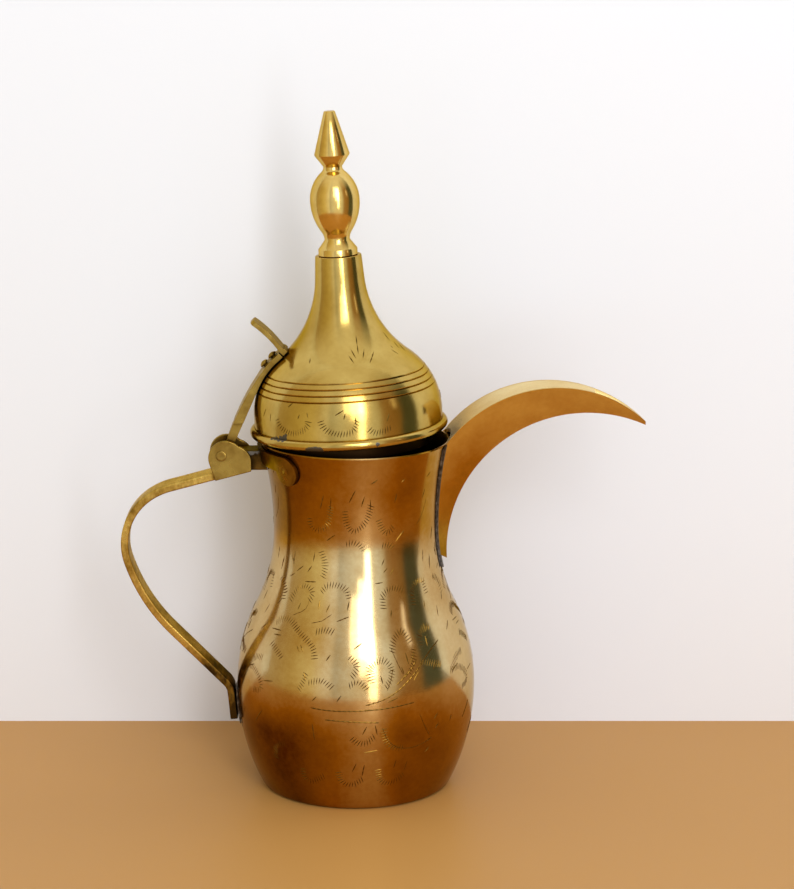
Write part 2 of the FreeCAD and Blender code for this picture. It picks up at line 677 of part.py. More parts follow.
def build_bracket(core, saddle_skin):
    lobes = []
    for name, angle in (("lobe_near", "lobe_angle"), ("lobe_far", "-lobe_angle")):
        lobe = new_body(name)
        sketch = sketch_on(lobe, "YZ_Plane", name + "_outline")
        circle(sketch, "0", "lobe_z", "lobe_radius")
        feature = pad(lobe, sketch, "rim_radius+trim_margin", both_ways=False)
        feature.Reversed = True
        lobe.Placement = FreeCAD.Placement(FreeCAD.Vector(), FreeCAD.Rotation(FreeCAD.Vector(0, 0, 1), 1))
        lobe.setExpression("Placement.Rotation.Angle", bind(f"{angle} * 1 deg"))
        lobes.append(lobe)
    band = doc.addObject("Part::Cylinder", "saddle_band")
    band.setExpression("Radius", bind("rim_radius+trim_margin"))
    band.setExpression("Height", bind("saddle_height"))
    band.setExpression("Angle", bind("2*lobe_angle * 1 deg"))
    band.Placement = FreeCAD.Placement(FreeCAD.Vector(), FreeCAD.Rotation(FreeCAD.Vector(0, 0, 1), 1))
    band.setExpression("Placement.Rotation.Angle", bind("180 deg - lobe_angle * 1 deg"))
    band.setExpression("Placement.Base.z", bind("lobe_z+lobe_radius-saddle_height"))
    lobe_pair = combine("Fuse", "lobe_pair", *lobes)
    saddle_outline = combine("Fuse", "saddle_outline", lobe_pair, band)
    saddle = combine("Common", "saddle", saddle_outline, saddle_skin)
    stem = new_body("bracket_stem")
    sketch = sketch_on(stem, "XZ_Plane", "stem_outline")
    inside = "-neck_radius"
    tongue = "box_x-stem_tongue_length"
    top = "(rim_height-stem_drop)"
    outline(sketch, [
        (inside, top),
        (tongue, top),
        (tongue, strap_top(tongue)),
        ("box_x-stem_step_length", strap_top("box_x-stem_step_length")),
        ("box_x-stem_step_length", top + "-stem_height"),
        (inside, top + "-stem_height"),
    ])
    pad(stem, sketch, "strap_width")
    joined = combine("Fuse", "bracket_joined", saddle, stem)
    fitted = combine("Cut", "bracket_fitted", joined, core)
    holes = new_body("bracket_holes")
    for number, side in enumerate(("lobe_angle", "-lobe_angle")):
        sketch = sketch_on(holes, "XZ_Plane", f"bracket_hole_{number}")
        offset_sketch(sketch, FreeCAD.Vector(0, 1, 0), f"{side} * 1 deg", {})
        at = rivet_axis(sketch, *LOBE_PLACE)
        outline(sketch, [
            at("drill_reach", "0"),
            at("drill_reach", "rivet_radius+joint_gap"),
            at("-drill_reach", "rivet_radius+joint_gap"),
            at("-drill_reach", "0"),
        ])
        turn(holes, sketch, axis="Axis0")
    keep("hinge_bracket", combine("Cut", "hinge_bracket", fitted, holes))
    sides = (("near", "lobe_angle * 1 deg"), ("far", "-lobe_angle * 1 deg"))
    group("bracket_rivets", [
        rivet(f"bracket_rivet_{side}", LOBE_PLACE, "lobe_stack", "rivet_head_radius", "rivet_flush_height",
              turned=angle) for side, angle in sides])
    group("bracket_rivet_roves", [
        rove(f"bracket_rove_{side}", LOBE_PLACE, "lobe_stack", turned=angle) for side, angle in sides])


def build_hinge_box():
    cheek = new_body("hinge_cheek_near")
    sketch = sketch_on(cheek, "XZ_Plane", "cheek_outline")
    offset_sketch(sketch, FreeCAD.Vector(1, 0, 0), "", {"z": "box_half"})
    left, right = "(hinge_x-box_back_length)", "box_x"

    def on_round(angle):
        return (f"hinge_x+cheek_centre_distance+cheek_radius*cos({angle})",
                f"hinge_z-cheek_centre_drop+cheek_radius*sin({angle})")

    outline(sketch, [
        (left, strap_bottom(left)),
        (right, strap_bottom(right)),
        (right, "hinge_z-cheek_front_drop", "cheek_front_radius", 1),
        on_round("cheek_notch_angle") + ("cheek_radius", 1),
        on_round("cheek_back_angle"),
    ])
    circle(sketch, "hinge_x", "hinge_z", "pin_radius+joint_gap")
    pad(cheek, sketch, "cheek_thickness", both_ways=False)
    keep("hinge_cheek_near", cheek)
    keep("hinge_cheek_far", mirrored("hinge_cheek_far", cheek))
    # peened pin, turned about the hinge line
    pin = new_body("hinge_pin")
    pin.setExpression("Placement.Base.x", bind("hinge_x"))
    pin.setExpression("Placement.Base.z", bind("hinge_z"))
    sketch = sketch_on(pin, "XY_Plane", "pin_outline")
    face = "(box_half+cheek_thickness+joint_gap)"
    end = f"({face}+pin_head_height)"
    outline(sketch, [
        ("0", f"-{end}"),
        ("pin_radius", f"-{end}"),
        ("pin_head_radius", f"-{face}"),
        ("pin_radius", f"-{face}"),
        ("pin_radius", face),
        ("pin_head_radius", face),
        ("pin_radius", end),
        ("0", end),
    ])
    turn(pin, sketch)
    keep("hinge_pin", pin)


def handle_route():
    """Points along the strap's centre line: box end, three bends, long run, foot bend and foot."""
    slope = math.radians(value("strap_slope"))
    shoulder = slope + math.radians(value("handle_shoulder_turn"))
    bend = shoulder + math.radians(value("handle_bend_turn"))
    run = math.radians(value("handle_run_slope"))
    foot = math.radians(90 + value("foot_lean"))

    def heading(angle):
        return FreeCAD.Vector(-math.cos(angle), -math.sin(angle), 0)

    def sweep(radius, first, last):
        return FreeCAD.Vector(math.sin(first) - math.sin(last), math.cos(last) - math.cos(first), 0) * radius

    half_foot = heading(foot) * (value("handle_foot_length") / 2)
    foot_middle = FreeCAD.Vector(value("foot_x"), value("foot_z"), 0)
    start = FreeCAD.Vector(value("box_x-strap_start_gap"), value(STRAP_START_Z), 0)
    arcs = [
        sweep(value("handle_shoulder_radius"), slope, shoulder),
        sweep(value("handle_bend_radius"), shoulder, bend),
        sweep(value("handle_bow_radius"), bend, run),
        sweep(-value("handle_foot_bend_radius"), run, foot),
    ]
    gap = foot_middle - half_foot - start
    for arc in arcs:
        gap = gap - arc
    first, last = heading(slope), heading(run)
    cross = first.x * last.y - first.y * last.x
    lead = first * ((gap.x * last.y - gap.y * last.x) / cross)
    tail = last * ((first.x * gap.y - first.y * gap.x) / cross)
    points = [start]
    for step in (lead, arcs[0], arcs[1], arcs[2], tail, arcs[3], half_foot * 2):
        points.append(points[-1] + step)
    return points


STRAP_START_Z = strap_bottom("box_x-strap_start_gap") + "+strap_thickness/2/cos(strap_slope)"


def build_handle():
    strap = new_body("handle_strap")
    path = sketch_on(strap, "XZ_Plane", "handle_path")
    points = handle_route()
    radii = ["handle_shoulder_radius", "handle_bend_radius", "handle_bow_radius", "handle_foot_bend_radius"]
    ways = {1: (radii[0], 1), 2: (radii[1], 1), 3: (radii[2], 1), 5: (radii[3], -1)}
    ends = []
    for number in range(len(points) - 1):
        first, last = points[number], points[number + 1]
        if number in ways:
            radius, side = ways[number]
            path.addGeometry(arc_between(first, last, value(radius), side))
            index = path.addConstraint(Sketcher.Constraint("Radius", number, value(radius)))
            path.setExpression(f"Constraints[{index}]", bind(radius))
            ends.append((1, 2) if side > 0 else (2, 1))
        else:
            path.addGeometry(Part.LineSegment(first, last))
            ends.append((1, 2))
        if number:
            path.addConstraint(
                Sketcher.Constraint("Tangent", number - 1, ends[number - 1][1], number, ends[number][0]))
    pin_point(path, 0, 1, "box_x-strap_start_gap", STRAP_START_Z)
    # turns of the two upper bends, slopes of the straight runs, and the foot on the belly
    lean = "(90 deg+foot_lean)"
    for number, formula in ((0, "180 deg+strap_slope * 1 deg"), (1, "handle_shoulder_turn * 1 deg"),
                            (2, "handle_bend_turn * 1 deg"), (4, "180 deg+handle_run_slope * 1 deg"),
                            (6, f"180 deg+{lean}")):
        angle = math.radians(value(formula))
        index = path.addConstraint(Sketcher.Constraint("Angle", number, angle))
        path.setExpression(f"Constraints[{index}]", bind(formula))
    pin_point(path, 6, 1, f"foot_x+handle_foot_length/2*cos{lean}", f"foot_z+handle_foot_length/2*sin{lean}")
    index = path.addConstraint(Sketcher.Constraint("Distance", 6, value("handle_foot_length")))
    path.setExpression(f"Constraints[{index}]", bind("handle_foot_length"))
    section = sketch_on(strap, "YZ_Plane", "handle_section")
    offset_sketch(section, FreeCAD.Vector(1, 0, 0), "-strap_slope * 1 deg",
                  {"y": STRAP_START_Z, "z": "box_x-strap_start_gap"})
    wide, thick = "strap_width/2", "strap_thickness/2"
    outline(section, [("-" + wide, "-" + thick), (wide, "-" + thick), (wide, thick), ("-" + wide, thick)])
    doc.recompute()
    pipe = strap.newObject("PartDesign::AdditivePipe", "handle_bar")
    pipe.Profile = section
    pipe.Spine = (path, [f"Edge{number + 1}" for number in range(len(points) - 1)])
    keep("handle_strap", strap)


def build_foot_solder(core, solder_skin):
    pad_box = doc.addObject("Part::Box", "foot_solder_box")
    pad_box.setExpression("Length", bind("belly_radius"))
    pad_box.setExpression("Width", bind("strap_width+2*foot_solder_margin"))
    pad_box.setExpression("Height", bind("handle_foot_length+2*foot_solder_margin"))
    pad_box.setExpression("Placement.Base.x", bind("-belly_radius-trim_margin"))
    pad_box.setExpression("Placement.Base.y", bind("-strap_width/2-foot_solder_margin"))
    pad_box.setExpression("Placement.Base.z",
                          bind("handle_foot_height-handle_foot_length/2-foot_solder_margin"))
    layer = combine("Common", "foot_solder_layer", pad_box, solder_skin)
    keep("handle_foot_solder", combine("Cut", "handle_foot_solder", layer, core))


# lid


def dome_point(radius, angle):
    """A point on a circle about the shoulder's centre, on the +X side."""
    return f"dome_x+({radius})*cos({angle})", f"lid_wall_height+({radius})*sin({angle})"


def build_lid_dome():
    wall, shoulder = "lid_wall", "lid_shoulder_radius"

    def meeting(radius):
        """Where the shoulder runs into the sweep of the spire, for a shoulder of the given radius."""
        share = f"({radius})/(lid_shoulder_radius+sweep_radius)"
        return f"dome_x+(sweep_x-dome_x)*{share}", f"lid_wall_height+(sweep_z-lid_wall_height)*{share}"

    def taper(shift, along):
        """A point of the spire's taper, moved in by shift, a way down from its top."""
        return (f"spire_radius-({shift})*cos(spire_taper)+({along})*sin(spire_taper)",
                f"lid_height-({shift})*sin(spire_taper)-({along})*cos(spire_taper)")

    bore = "tenon_radius+joint_gap"
    body = turned_body("lid_dome", [
        ("lid_radius", "-bead_radius"),
        ("lid_radius", "lid_wall_height", shoulder, 1),
        meeting(shoulder) + ("sweep_radius", -1),
        taper("0", "spire_taper_length"),
        ("spire_radius", "lid_height"),
        (bore, "lid_height"),
        (bore, "lid_height-spire_top_thickness"),
        ("spire_radius-(lid_wall-spire_top_thickness*sin(spire_taper))/cos(spire_taper)",
         "lid_height-spire_top_thickness"),
        taper(wall, "spire_taper_length") + ("sweep_radius+lid_wall", 1),
        meeting("lid_shoulder_radius-lid_wall") + ("lid_shoulder_radius-lid_wall", -1),
        ("lid_radius-lid_wall", "lid_wall_height"),
        ("lid_radius-lid_wall", "-bead_radius"),
    ], in_lid=True)
    grooves = sketch_on(body, "XZ_Plane", "lid_grooves")
    for number in range(4):
        circle(grooves, *dome_point(shoulder, f"(groove_first+{number}*groove_step)"), "groove_radius")
    turn(body, grooves, "Groove")
    for place in ARM_PLACES:
        drill(body, "arm_hole_in_lid", place, "arm_stack")
    keep("lid_dome", body)


def build_lid_rings():
    inner = "lid_radius+joint_gap"
    bead = turned_body("lid_rim_bead", [
        (inner, "-bead_radius"),
        (inner + "+bead_radius*0.2", "-bead_radius", "bead_radius", 1),
        (inner + "+bead_radius*0.2+bead_radius*0.8", "0", "bead_radius", 1),
        (inner + "+bead_radius*0.2", "bead_radius"),
        (inner, "bead_radius"),
    ], in_lid=True)
    keep("lid_rim_bead", bead)
    flange = "lid_radius-lid_wall-joint_gap"
    collar = turned_body("lid_collar", [
        ("collar_radius-collar_wall", "-bead_radius-collar_depth"),
        ("collar_radius", "-bead_radius-collar_depth"),
        ("collar_radius", "0"),
        (flange, "0"),
        (flange, "collar_wall"),
        ("collar_radius-collar_wall", "collar_wall"),
    ], in_lid=True)
    keep("lid_collar", collar)


def on_sweep(out, angle):
    """A point above the lid's sweep on the -X side, at an angle about the sweep's centre."""
    radius = f"(sweep_radius-joint_gap-({out}))"
    return f"-(sweep_x)+{radius}*cos({angle})", f"sweep_z-{radius}*sin({angle})"


def build_lid_arm():
    arm = lid_body("lid_arm")
    sketch = sketch_on(arm, "XZ_Plane", "arm_outline")
    half = "arm_thickness/2"

    def on_arc(shift, angle):
        return (f"-(dome_x)-(arm_radius+({shift}))*cos({angle})",
                f"lid_wall_height+(arm_radius+({shift}))*sin({angle})")

    def beside_pin(shift):
        """The straight run's end, level with the pin."""
        return (f"pin_x+(knuckle_offset-({shift}))*cos(arm_leave)",
                f"pin_z-(knuckle_offset-({shift}))*sin(arm_leave)")

    outline(sketch, [
        on_sweep("arm_thickness", "arm_end") + ("sweep_radius-joint_gap-arm_thickness", -1),
        on_arc(half, "meet_angle") + (f"arm_radius+{half}", 1),
        on_arc(half, "arm_leave"),
        beside_pin(half),
        beside_pin("-" + half),
        on_arc("-" + half, "arm_leave") + (f"arm_radius-{half}", -1),
        on_arc("-" + half, "meet_angle") + ("sweep_radius-joint_gap", 1),
        on_sweep("0", "arm_end"),
    ])
    pad(arm, sketch, "arm_width")
    # below the notch the strap is narrowed to pass between the cheeks
    tongue_half = "(strap_width/2-arm_side_gap)"
    for side in ("1", "-1"):
        notch = sketch_on(arm, "YZ_Plane", "arm_notch")
        outline(notch, [
            (f"{side}*{tongue_half}", "pin_z-trim_margin"),
            (f"{side}*{tongue_half}", "arm_notch_height"),
            (f"{side}*arm_width", "arm_notch_height"),
            (f"{side}*arm_width", "pin_z-trim_margin"),
        ])
        pocket(arm, notch, "2*rim_radius+2*hinge_back_distance", both_ways=True)
    knuckle = sketch_on(arm, "XZ_Plane", "knuckle_outline")
    circle(knuckle, "pin_x", "pin_z", "knuckle_radius")
    pad(arm, knuckle, f"2*{tongue_half}")
    bore = sketch_on(arm, "XZ_Plane", "knuckle_bore")
    circle(bore, "pin_x", "pin_z", "pin_radius+pin_running_gap")
    pocket(arm, bore, "2*arm_width", both_ways=True)
    for place in ARM_PLACES:
        drill(arm, "arm_hole", place, "arm_thickness/10")
    keep("lid_arm", arm)


def build_thumb_lever():
    lever = lid_body("thumb_lever")
    sketch = sketch_on(lever, "XZ_Plane", "lever_outline")
    start = "(arm_end-lever_gap/sweep_radius*180/pi * 1 deg)"
    stop = "(arm_end-(lever_gap+lever_foot_length)/sweep_radius*180/pi * 1 deg)"
    # the leaf leans out from the foot's lower end
    root_x, root_z = on_sweep("lever_thickness", start)
    lean_x, lean_z = "sin(lever_lean)", "cos(lever_lean)"
    heel = "lever_thickness*1.1"
    outline(sketch, [
        on_sweep("0", start),
        (root_x, root_z),
        (f"{root_x}-lever_length*{lean_x}", f"{root_z}+lever_length*{lean_z}"),
        (f"{root_x}-lever_length*{lean_x}+lever_thickness*{lean_z}",
         f"{root_z}+lever_length*{lean_z}+lever_thickness*{lean_x}"),
        (f"{root_x}+{heel}*{lean_z}", f"{root_z}+{heel}*{lean_x}"),
        on_sweep("lever_thickness", stop),
        on_sweep("0", stop) + ("sweep_radius-joint_gap", -1),
    ])
    pad(lever, sketch, "lever_width")
    keep("thumb_lever", lever)


def build_arm_rivets():
    names = ("low", "high")
    group("arm_rivets", [
        rivet(f"arm_rivet_{name}", place, "arm_stack", "rivet_head_radius", "rivet_head_height", in_lid=True)
        for name, place in zip(names, ARM_PLACES)])
    group("arm_rivet_roves", [
        rove(f"arm_rove_{name}", place, "arm_stack", in_lid=True)
        for name, place in zip(names, ARM_PLACES)])


def build_finial():
    def level(height):
        return f"lid_height+joint_gap+{height}"

    def between(share, first, last):
        return f"{first}+({last}-{first})*{share}"

    foot = level("0")
    low_mix, high_mix = f"{1 - BULB_SHARE:.2f}", f"{1 - COLLET_SHARE:.2f}"
    body = turned_body("finial", [
        ("0", f"{foot}-tenon_length"),
        ("tenon_radius", f"{foot}-tenon_length"),
        ("tenon_radius", foot),
        ("finial_foot_radius", foot),
        ("finial_foot_radius", level("finial_foot_height")),
        ("finial_waist_radius", level("finial_waist_height"), f"stem_sum*{low_mix}", -1),
        (between(low_mix, "finial_waist_radius", "finial_bulb_radius"),
         level("(" + between(low_mix, "finial_waist_height", "finial_bulb_height") + ")"),
         f"stem_sum*{BULB_SHARE}", 1),
        ("finial_bulb_radius", level("finial_bulb_height"), f"collet_sum*{COLLET_SHARE}", 1),
        (between(high_mix, "finial_neck_radius", "finial_bulb_radius"),
         level("(" + between(high_mix, "finial_neck_height", "finial_bulb_height") + ")"),
         f"collet_sum*{high_mix}", -1),
        ("finial_neck_radius", level("finial_neck_height")),
        ("finial_cone_radius", level("finial_cone_height")),
        ("finial_tip_radius", level("finial_tip_height")),
        ("0", level("finial_tip_height")),
    ], in_lid=True)
    keep("finial", body)
    ceiling = "lid_height-spire_top_thickness-joint_gap"
    washer = turned_body("finial_washer", [
        ("tenon_radius+thread_gap", f"{ceiling}-washer_thickness"),
        ("washer_radius", f"{ceiling}-washer_thickness"),
        ("washer_radius", ceiling),
        ("tenon_radius+thread_gap", ceiling),
    ], in_lid=True)
    keep("finial_washer", washer)
    nut = lid_body("finial_nut")
    sketch = sketch_on(nut, "XY_Plane", "nut_outline")
    offset_sketch(sketch, FreeCAD.Vector(1, 0, 0), "",
                  {"z": f"{ceiling}-washer_thickness-joint_gap-nut_thickness"})
    corner = "nut_flats_width/sqrt(3)"
    outline(sketch, [(f"{corner}*cos({60 * step})", f"{corner}*sin({60 * step})") for step in range(6)])
    circle(sketch, "0", "0", "tenon_radius+thread_gap")
    pad(nut, sketch, "nut_thickness", both_ways=False)
    keep("finial_nut", nut)


def check_and_write():
    doc.recompute()
    faults = [obj.Name for obj in doc.Objects if {"Invalid", "Error"} & set(obj.State)]
    for label, obj in nodes.items():
        shape = obj.Shape
        if shape.isNull() or not shape.isValid() or shape.Volume <= 0:
            faults.append(label)
    if faults:
        raise RuntimeError("failed: " + ", ".join(faults))
    os.makedirs("parts", exist_ok=True)
    for label, obj in nodes.items():
        obj.Shape.exportStep(f"parts/{label}.step")
        box = obj.Shape.BoundBox
        print(f"{label:22s} solids {len(obj.Shape.Solids)} volume {obj.Shape.Volume:9.1f}"
              f" x {box.XMin:7.1f} {box.XMax:7.1f} y {box.YMin:6.1f} {box.YMax:6.1f}"
              f" z {box.ZMin:6.1f} {box.ZMax:6.1f}")


core = outer_form("body_core", "joint_gap")
saddle_skin = outer_form("saddle_skin", "joint_gap+saddle_thickness")
seam_skin = outer_form("seam_skin", "joint_gap+spout_seam_height")
solder_skin = outer_form("solder_skin", "joint_gap+foot_solder_thickness")
build_body_shell()
build_base()
build_spout(core, seam_skin)
build_bracket(core, saddle_skin)
build_hinge_box()
build_handle()
build_foot_solder(core, solder_skin)
build_lid_dome()
build_lid_rings()
build_lid_arm()
build_thumb_lever()
build_arm_rivets()
build_finial()
check_and_write()
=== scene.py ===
import random
from math import acos, atan2, ceil, copysign, cos, hypot, pi, radians, sin, sqrt

import bmesh
import bpy
from mathutils import Matrix, Vector


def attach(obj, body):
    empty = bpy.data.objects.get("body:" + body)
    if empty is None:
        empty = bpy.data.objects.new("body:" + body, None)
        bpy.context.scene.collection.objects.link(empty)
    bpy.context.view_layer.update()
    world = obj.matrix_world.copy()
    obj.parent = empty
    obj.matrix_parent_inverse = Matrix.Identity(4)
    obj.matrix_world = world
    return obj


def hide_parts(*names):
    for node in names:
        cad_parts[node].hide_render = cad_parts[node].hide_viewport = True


ops = bmesh.ops
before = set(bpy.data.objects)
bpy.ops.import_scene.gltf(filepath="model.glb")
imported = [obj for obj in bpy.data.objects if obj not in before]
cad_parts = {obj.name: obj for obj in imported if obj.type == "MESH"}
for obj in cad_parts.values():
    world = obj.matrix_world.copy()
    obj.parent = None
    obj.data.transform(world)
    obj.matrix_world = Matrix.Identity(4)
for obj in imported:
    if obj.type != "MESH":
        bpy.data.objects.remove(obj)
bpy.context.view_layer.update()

# All pieces are drawn in millimetres in the CAD's frame and scaled to metres at the end.
MM = 0.001

# Sizes of the real pot, the same as in the part's source. SHOULDER and BEAD are radii.
BASE_RADIUS, BELLY_RADIUS, BELLY_HEIGHT = 40.3, 51.2, 44.0
NECK_RADIUS, NECK_HEIGHT = 34.9, 112.7
RIM_RADIUS, RIM_HEIGHT = 40.4, 151.5
HOLLOW_SHARE, BODY_WALL, BASE_EDGE = 0.48, 1.2, 3.4
DISC_RADIUS, DISC_THICKNESS = 32.97, 1.2
HINGE = Vector((-56.4, 0.0, 145.5))
LID_AJAR = radians(3.3)
LID_RADIUS, LID_WALL, LID_SIDE, SHOULDER, BEAD = 39.8, 1.0, 6.0, 31.0, 2.0
LID_HEIGHT, SPIRE_RADIUS, TAPER, TAPER_LENGTH = 73.0, 9.7, radians(4), 10.0
STRAP_WIDTH, STRAP_THICKNESS = 12.0, 3.2
ARM_WIDTH, ARM_THICKNESS, TONGUE_WIDTH = 13.5, 2.2, 11.3
# The drawn shell is this much inside the solid's skin, so that the raised chasing stays in its box.
CHASING_ROOM = 0.13
# Gap between pieces that are fitted and soldered together.
FIT = 0.03


def arc_radius(run, rise):
    """Radius of an arc that starts upright and moves over by run while it climbs by rise."""
    return (run ** 2 + rise ** 2) / (2 * run)


FLARE = arc_radius(RIM_RADIUS - NECK_RADIUS, RIM_HEIGHT - NECK_HEIGHT)
WAIST = arc_radius(BELLY_RADIUS - NECK_RADIUS, NECK_HEIGHT - BELLY_HEIGHT)
FOOT = arc_radius(BELLY_RADIUS - BASE_RADIUS, BELLY_HEIGHT)
HOLLOW, SWELL = WAIST * HOLLOW_SHARE, WAIST * (1 - HOLLOW_SHARE)
TURN_HEIGHT = NECK_HEIGHT - (NECK_HEIGHT - BELLY_HEIGHT) * HOLLOW_SHARE

# Lid frame: origin on the lid's axis in the plane of its rim bead, leaning a little open on the hinge.
LID_SEAT = Vector((-2.0, 0.0, RIM_HEIGHT + 0.3 + BEAD))
LID_PLACE = (Matrix.Translation(HINGE) @ Matrix.Rotation(LID_AJAR, 4, (0, -1, 0))
             @ Matrix.Translation(LID_SEAT - HINGE))
DOME_X = LID_RADIUS - SHOULDER
JOINT_X = SPIRE_RADIUS + TAPER_LENGTH * sin(TAPER)
JOINT_Z = LID_HEIGHT - TAPER_LENGTH * cos(TAPER)
RUN, RISE = JOINT_X - DOME_X, JOINT_Z - LID_SIDE
SWEEP = (RUN ** 2 + RISE ** 2 - SHOULDER ** 2) / (
    2 * (SHOULDER - RUN * cos(TAPER) - RISE * sin(TAPER)))
SWEEP_X = JOINT_X + SWEEP * cos(TAPER)
SWEEP_Z = JOINT_Z + SWEEP * sin(TAPER)
MEET = atan2(SWEEP_Z - LID_SIDE, SWEEP_X - DOME_X)
# Grey solder smears on the lid's bead, and where the bracket's stem meets the neck: x, y, z, radius.
LID_SMEARS = [
    (-19.0, -38.6, 154.3, 2.0), (-16.6, -39.2, 154.5, 2.3), (-14.4, -39.6, 154.7, 1.7),
    (-34.2, -25.6, 157.0, 1.0), (-32.8, -27.0, 157.2, 1.2), (-31.2, -28.8, 157.4, 1.4),
    (-29.7, -30.2, 158.0, 1.6), (-28.8, -30.8, 159.4, 0.9), (9.2, -39.9, 157.5, 0.9)]
BRACKET_SMEARS = [(-41.5, -7.0, 148.5, 2.8), (-44.0, -6.5, 147.0, 1.8)]


# Materials


def linear(code):
    """sRGB hex to the linear colour that shaders take."""
    parts = [int(code[i:i + 2], 16) / 255 for i in (1, 3, 5)]
    return [c / 12.92 if c <= 0.04045 else ((c + 0.055) / 1.055) ** 2.4 for c in parts] + [1.0]


def grey(level):
    return (level, level, level, 1.0)


def plug(tree, node, inputs):
    """Give a node's inputs their values, or link them to other nodes' outputs."""
    for key, source in inputs.items():
        if isinstance(source, bpy.types.NodeSocket):
            tree.links.new(source, node.inputs[key])
        else:
            node.inputs[key].default_value = source


def add(tree, kind, inputs=None, stops=None, **settings):
    """Add a node and return its outputs. Settings are its own properties, inputs go to its sockets, and
    stops are a colour ramp's (place, colour) pairs."""
    made = tree.nodes.new("ShaderNode" + kind)
    for key, setting in settings.items():
        setattr(made, key, setting)
    plug(tree, made, inputs or {})
    if stops:
        elements = made.color_ramp.elements
        while len(elements) < len(stops):
            elements.new(0.5)
        for element, (place, colour) in zip(elements, stops):
            element.position = place
            element.color = colour
    return made.outputs


def start_material(name):
    """A new material, its node tree and its shader."""
    material = bpy.data.materials.new(name)
    material.use_nodes = True
    return material, material.node_tree, material.node_tree.nodes["Principled BSDF"]


# Size of the fine specks in tarnish and of the lumps in wiped solder.
SPECK_MM, LUMP_MM = 1.8, 1.6
SMEAR_COLOUR, SMEAR_ROUGHNESS = "#625e58", 0.45
# Amounts of darkening, tarnish and painted shade, that look clean, stained, dullest and deepest.
CLEAN_AT, STAINED_AT, DULL_AT, DEEP_AT = 0.45, 0.75, 0.95, 1.0


def brass(name, clean, stained, deep, gloss, dull, lines=(1.0, 1.0, 1.0), line_depth=0.05, stain_mm=26.0,
          cloudy=0.7, darkening_by_height=None, stain_and_painted_light_by_x=None, corners=0.0, spots=(), edge="#e2cf9e"):
    """Brass sheet or bar: a clear metal colour with cloudy brown stains and fine polishing lines.

    clean, stained and deep are colours; gloss and dull the roughness where clean and where stained.
    lines gives the polishing lines along X, Y, Z per millimetre, cloudy how far the stains vary.
    settled has (height in mm, amount) stops that darken the metal by height, and rubbed has (x in mm, share)
    stops that scale that darkening across X; these carry stains, painted shade and a painted lighter band of
    reflection. corners is the reach in mm of darkening by ambient occlusion where pieces meet, painted shade
    that also stands for tarnish.
    spots has (x, y, z, radius in mm) of smeared solder. edge is the tint kept at a glancing view.
    """
    material, tree, shader = start_material(name)
    coords = add(tree, "TexCoord")["Object"]
    cloud = add(tree, "TexNoise", {
        "Vector": coords, "Scale": 1000 / stain_mm, "Detail": 4.0, "Roughness": 0.55})["Fac"]
    speck = add(tree, "TexNoise", {"Vector": coords, "Scale": 1000 / SPECK_MM, "Detail": 2.0})["Fac"]
    scaled = add(tree, "Mapping", {"Vector": coords, "Scale": [1000 * n for n in lines]})["Vector"]
    scratch = add(tree, "TexNoise", {"Vector": scaled, "Scale": 1.0, "Detail": 2.0})["Fac"]
    # tarnish comes in clouds and specks, and coarse lines hold some of it
    amount = 0.5 - cloudy / 2 - line_depth / 4
    for noise, weight in ((cloud, cloudy), (speck, 0.1), (scratch, line_depth / 2)):
        amount = add(tree, "Math", {0: noise, 1: weight, 2: amount}, operation="MULTIPLY_ADD")[0]
    # darkening by height and across X: stains in some materials, painted shade and painted reflected light in
    # others
    if darkening_by_height:
        place = add(tree, "SeparateXYZ", {"Vector": coords})
        terms = {1: 1.0, 2: amount}
        for term, axis, stops in ((0, "Z", darkening_by_height), (1, "X", stain_and_painted_light_by_x)):
            if stops:
                first, last = stops[0][0], stops[-1][0]
                way = add(tree, "MapRange", {
                    "Value": place[axis], "From Min": first * MM, "From Max": last * MM})["Result"]
                terms[term] = add(tree, "ValToRGB", {"Fac": way}, stops=[
                    ((at - first) / (last - first), grey(level)) for at, level in stops])["Color"]
        amount = add(tree, "Math", terms, operation="MULTIPLY_ADD")[0]
    # ambient occlusion darkens the metal where pieces meet: painted shade, also standing for tarnish
    if corners:
        occlusion = add(tree, "AmbientOcclusion", {"Distance": corners * MM}, samples=6)["AO"]
        kept = add(tree, "MapRange", {
            "Value": occlusion, "From Min": 0.9, "From Max": 0.35, "To Max": 0.45})["Result"]
        amount = add(tree, "Math", {0: amount, 1: kept}, operation="ADD")[0]
    colour = add(tree, "ValToRGB", {"Fac": amount}, stops=[
        (CLEAN_AT, linear(clean)), (STAINED_AT, linear(stained)), (DEEP_AT, linear(deep))])["Color"]
    rough = add(tree, "ValToRGB", {"Fac": amount}, stops=[
        (CLEAN_AT, grey(gloss)), (DULL_AT, grey(dull))])["Color"]
    for x, y, z, radius in spots:
        spot = (x * MM, y * MM, z * MM)
        away = add(tree, "VectorMath", {0: coords, 1: spot}, operation="DISTANCE")["Value"]
        ragged = add(tree, "Math", {0: speck, 1: -radius * MM, 2: away}, operation="MULTIPLY_ADD")[0]
        mask = add(tree, "MapRange", {
            "Value": ragged, "From Min": 0.55 * radius * MM, "From Max": 0.35 * radius * MM})["Result"]
        colour = add(tree, "Mix", {0: mask, 6: colour, 7: linear(SMEAR_COLOUR)}, data_type="RGBA")[2]
        rough = add(tree, "Mix", {0: mask, 6: rough, 7: grey(SMEAR_ROUGHNESS)}, data_type="RGBA")[2]
    fine = add(tree, "Bump", {"Height": scratch, "Strength": line_depth, "Distance": 0.0001})["Normal"]
    dents = add(tree, "Bump", {
        "Height": cloud, "Strength": 0.2, "Distance": 0.0004, "Normal": fine})["Normal"]
    plug(tree, shader, {"Base Color": colour, "Roughness": rough, "Normal": dents, "Metallic": 1.0,
                        "Specular Tint": linear(edge)})
    return material
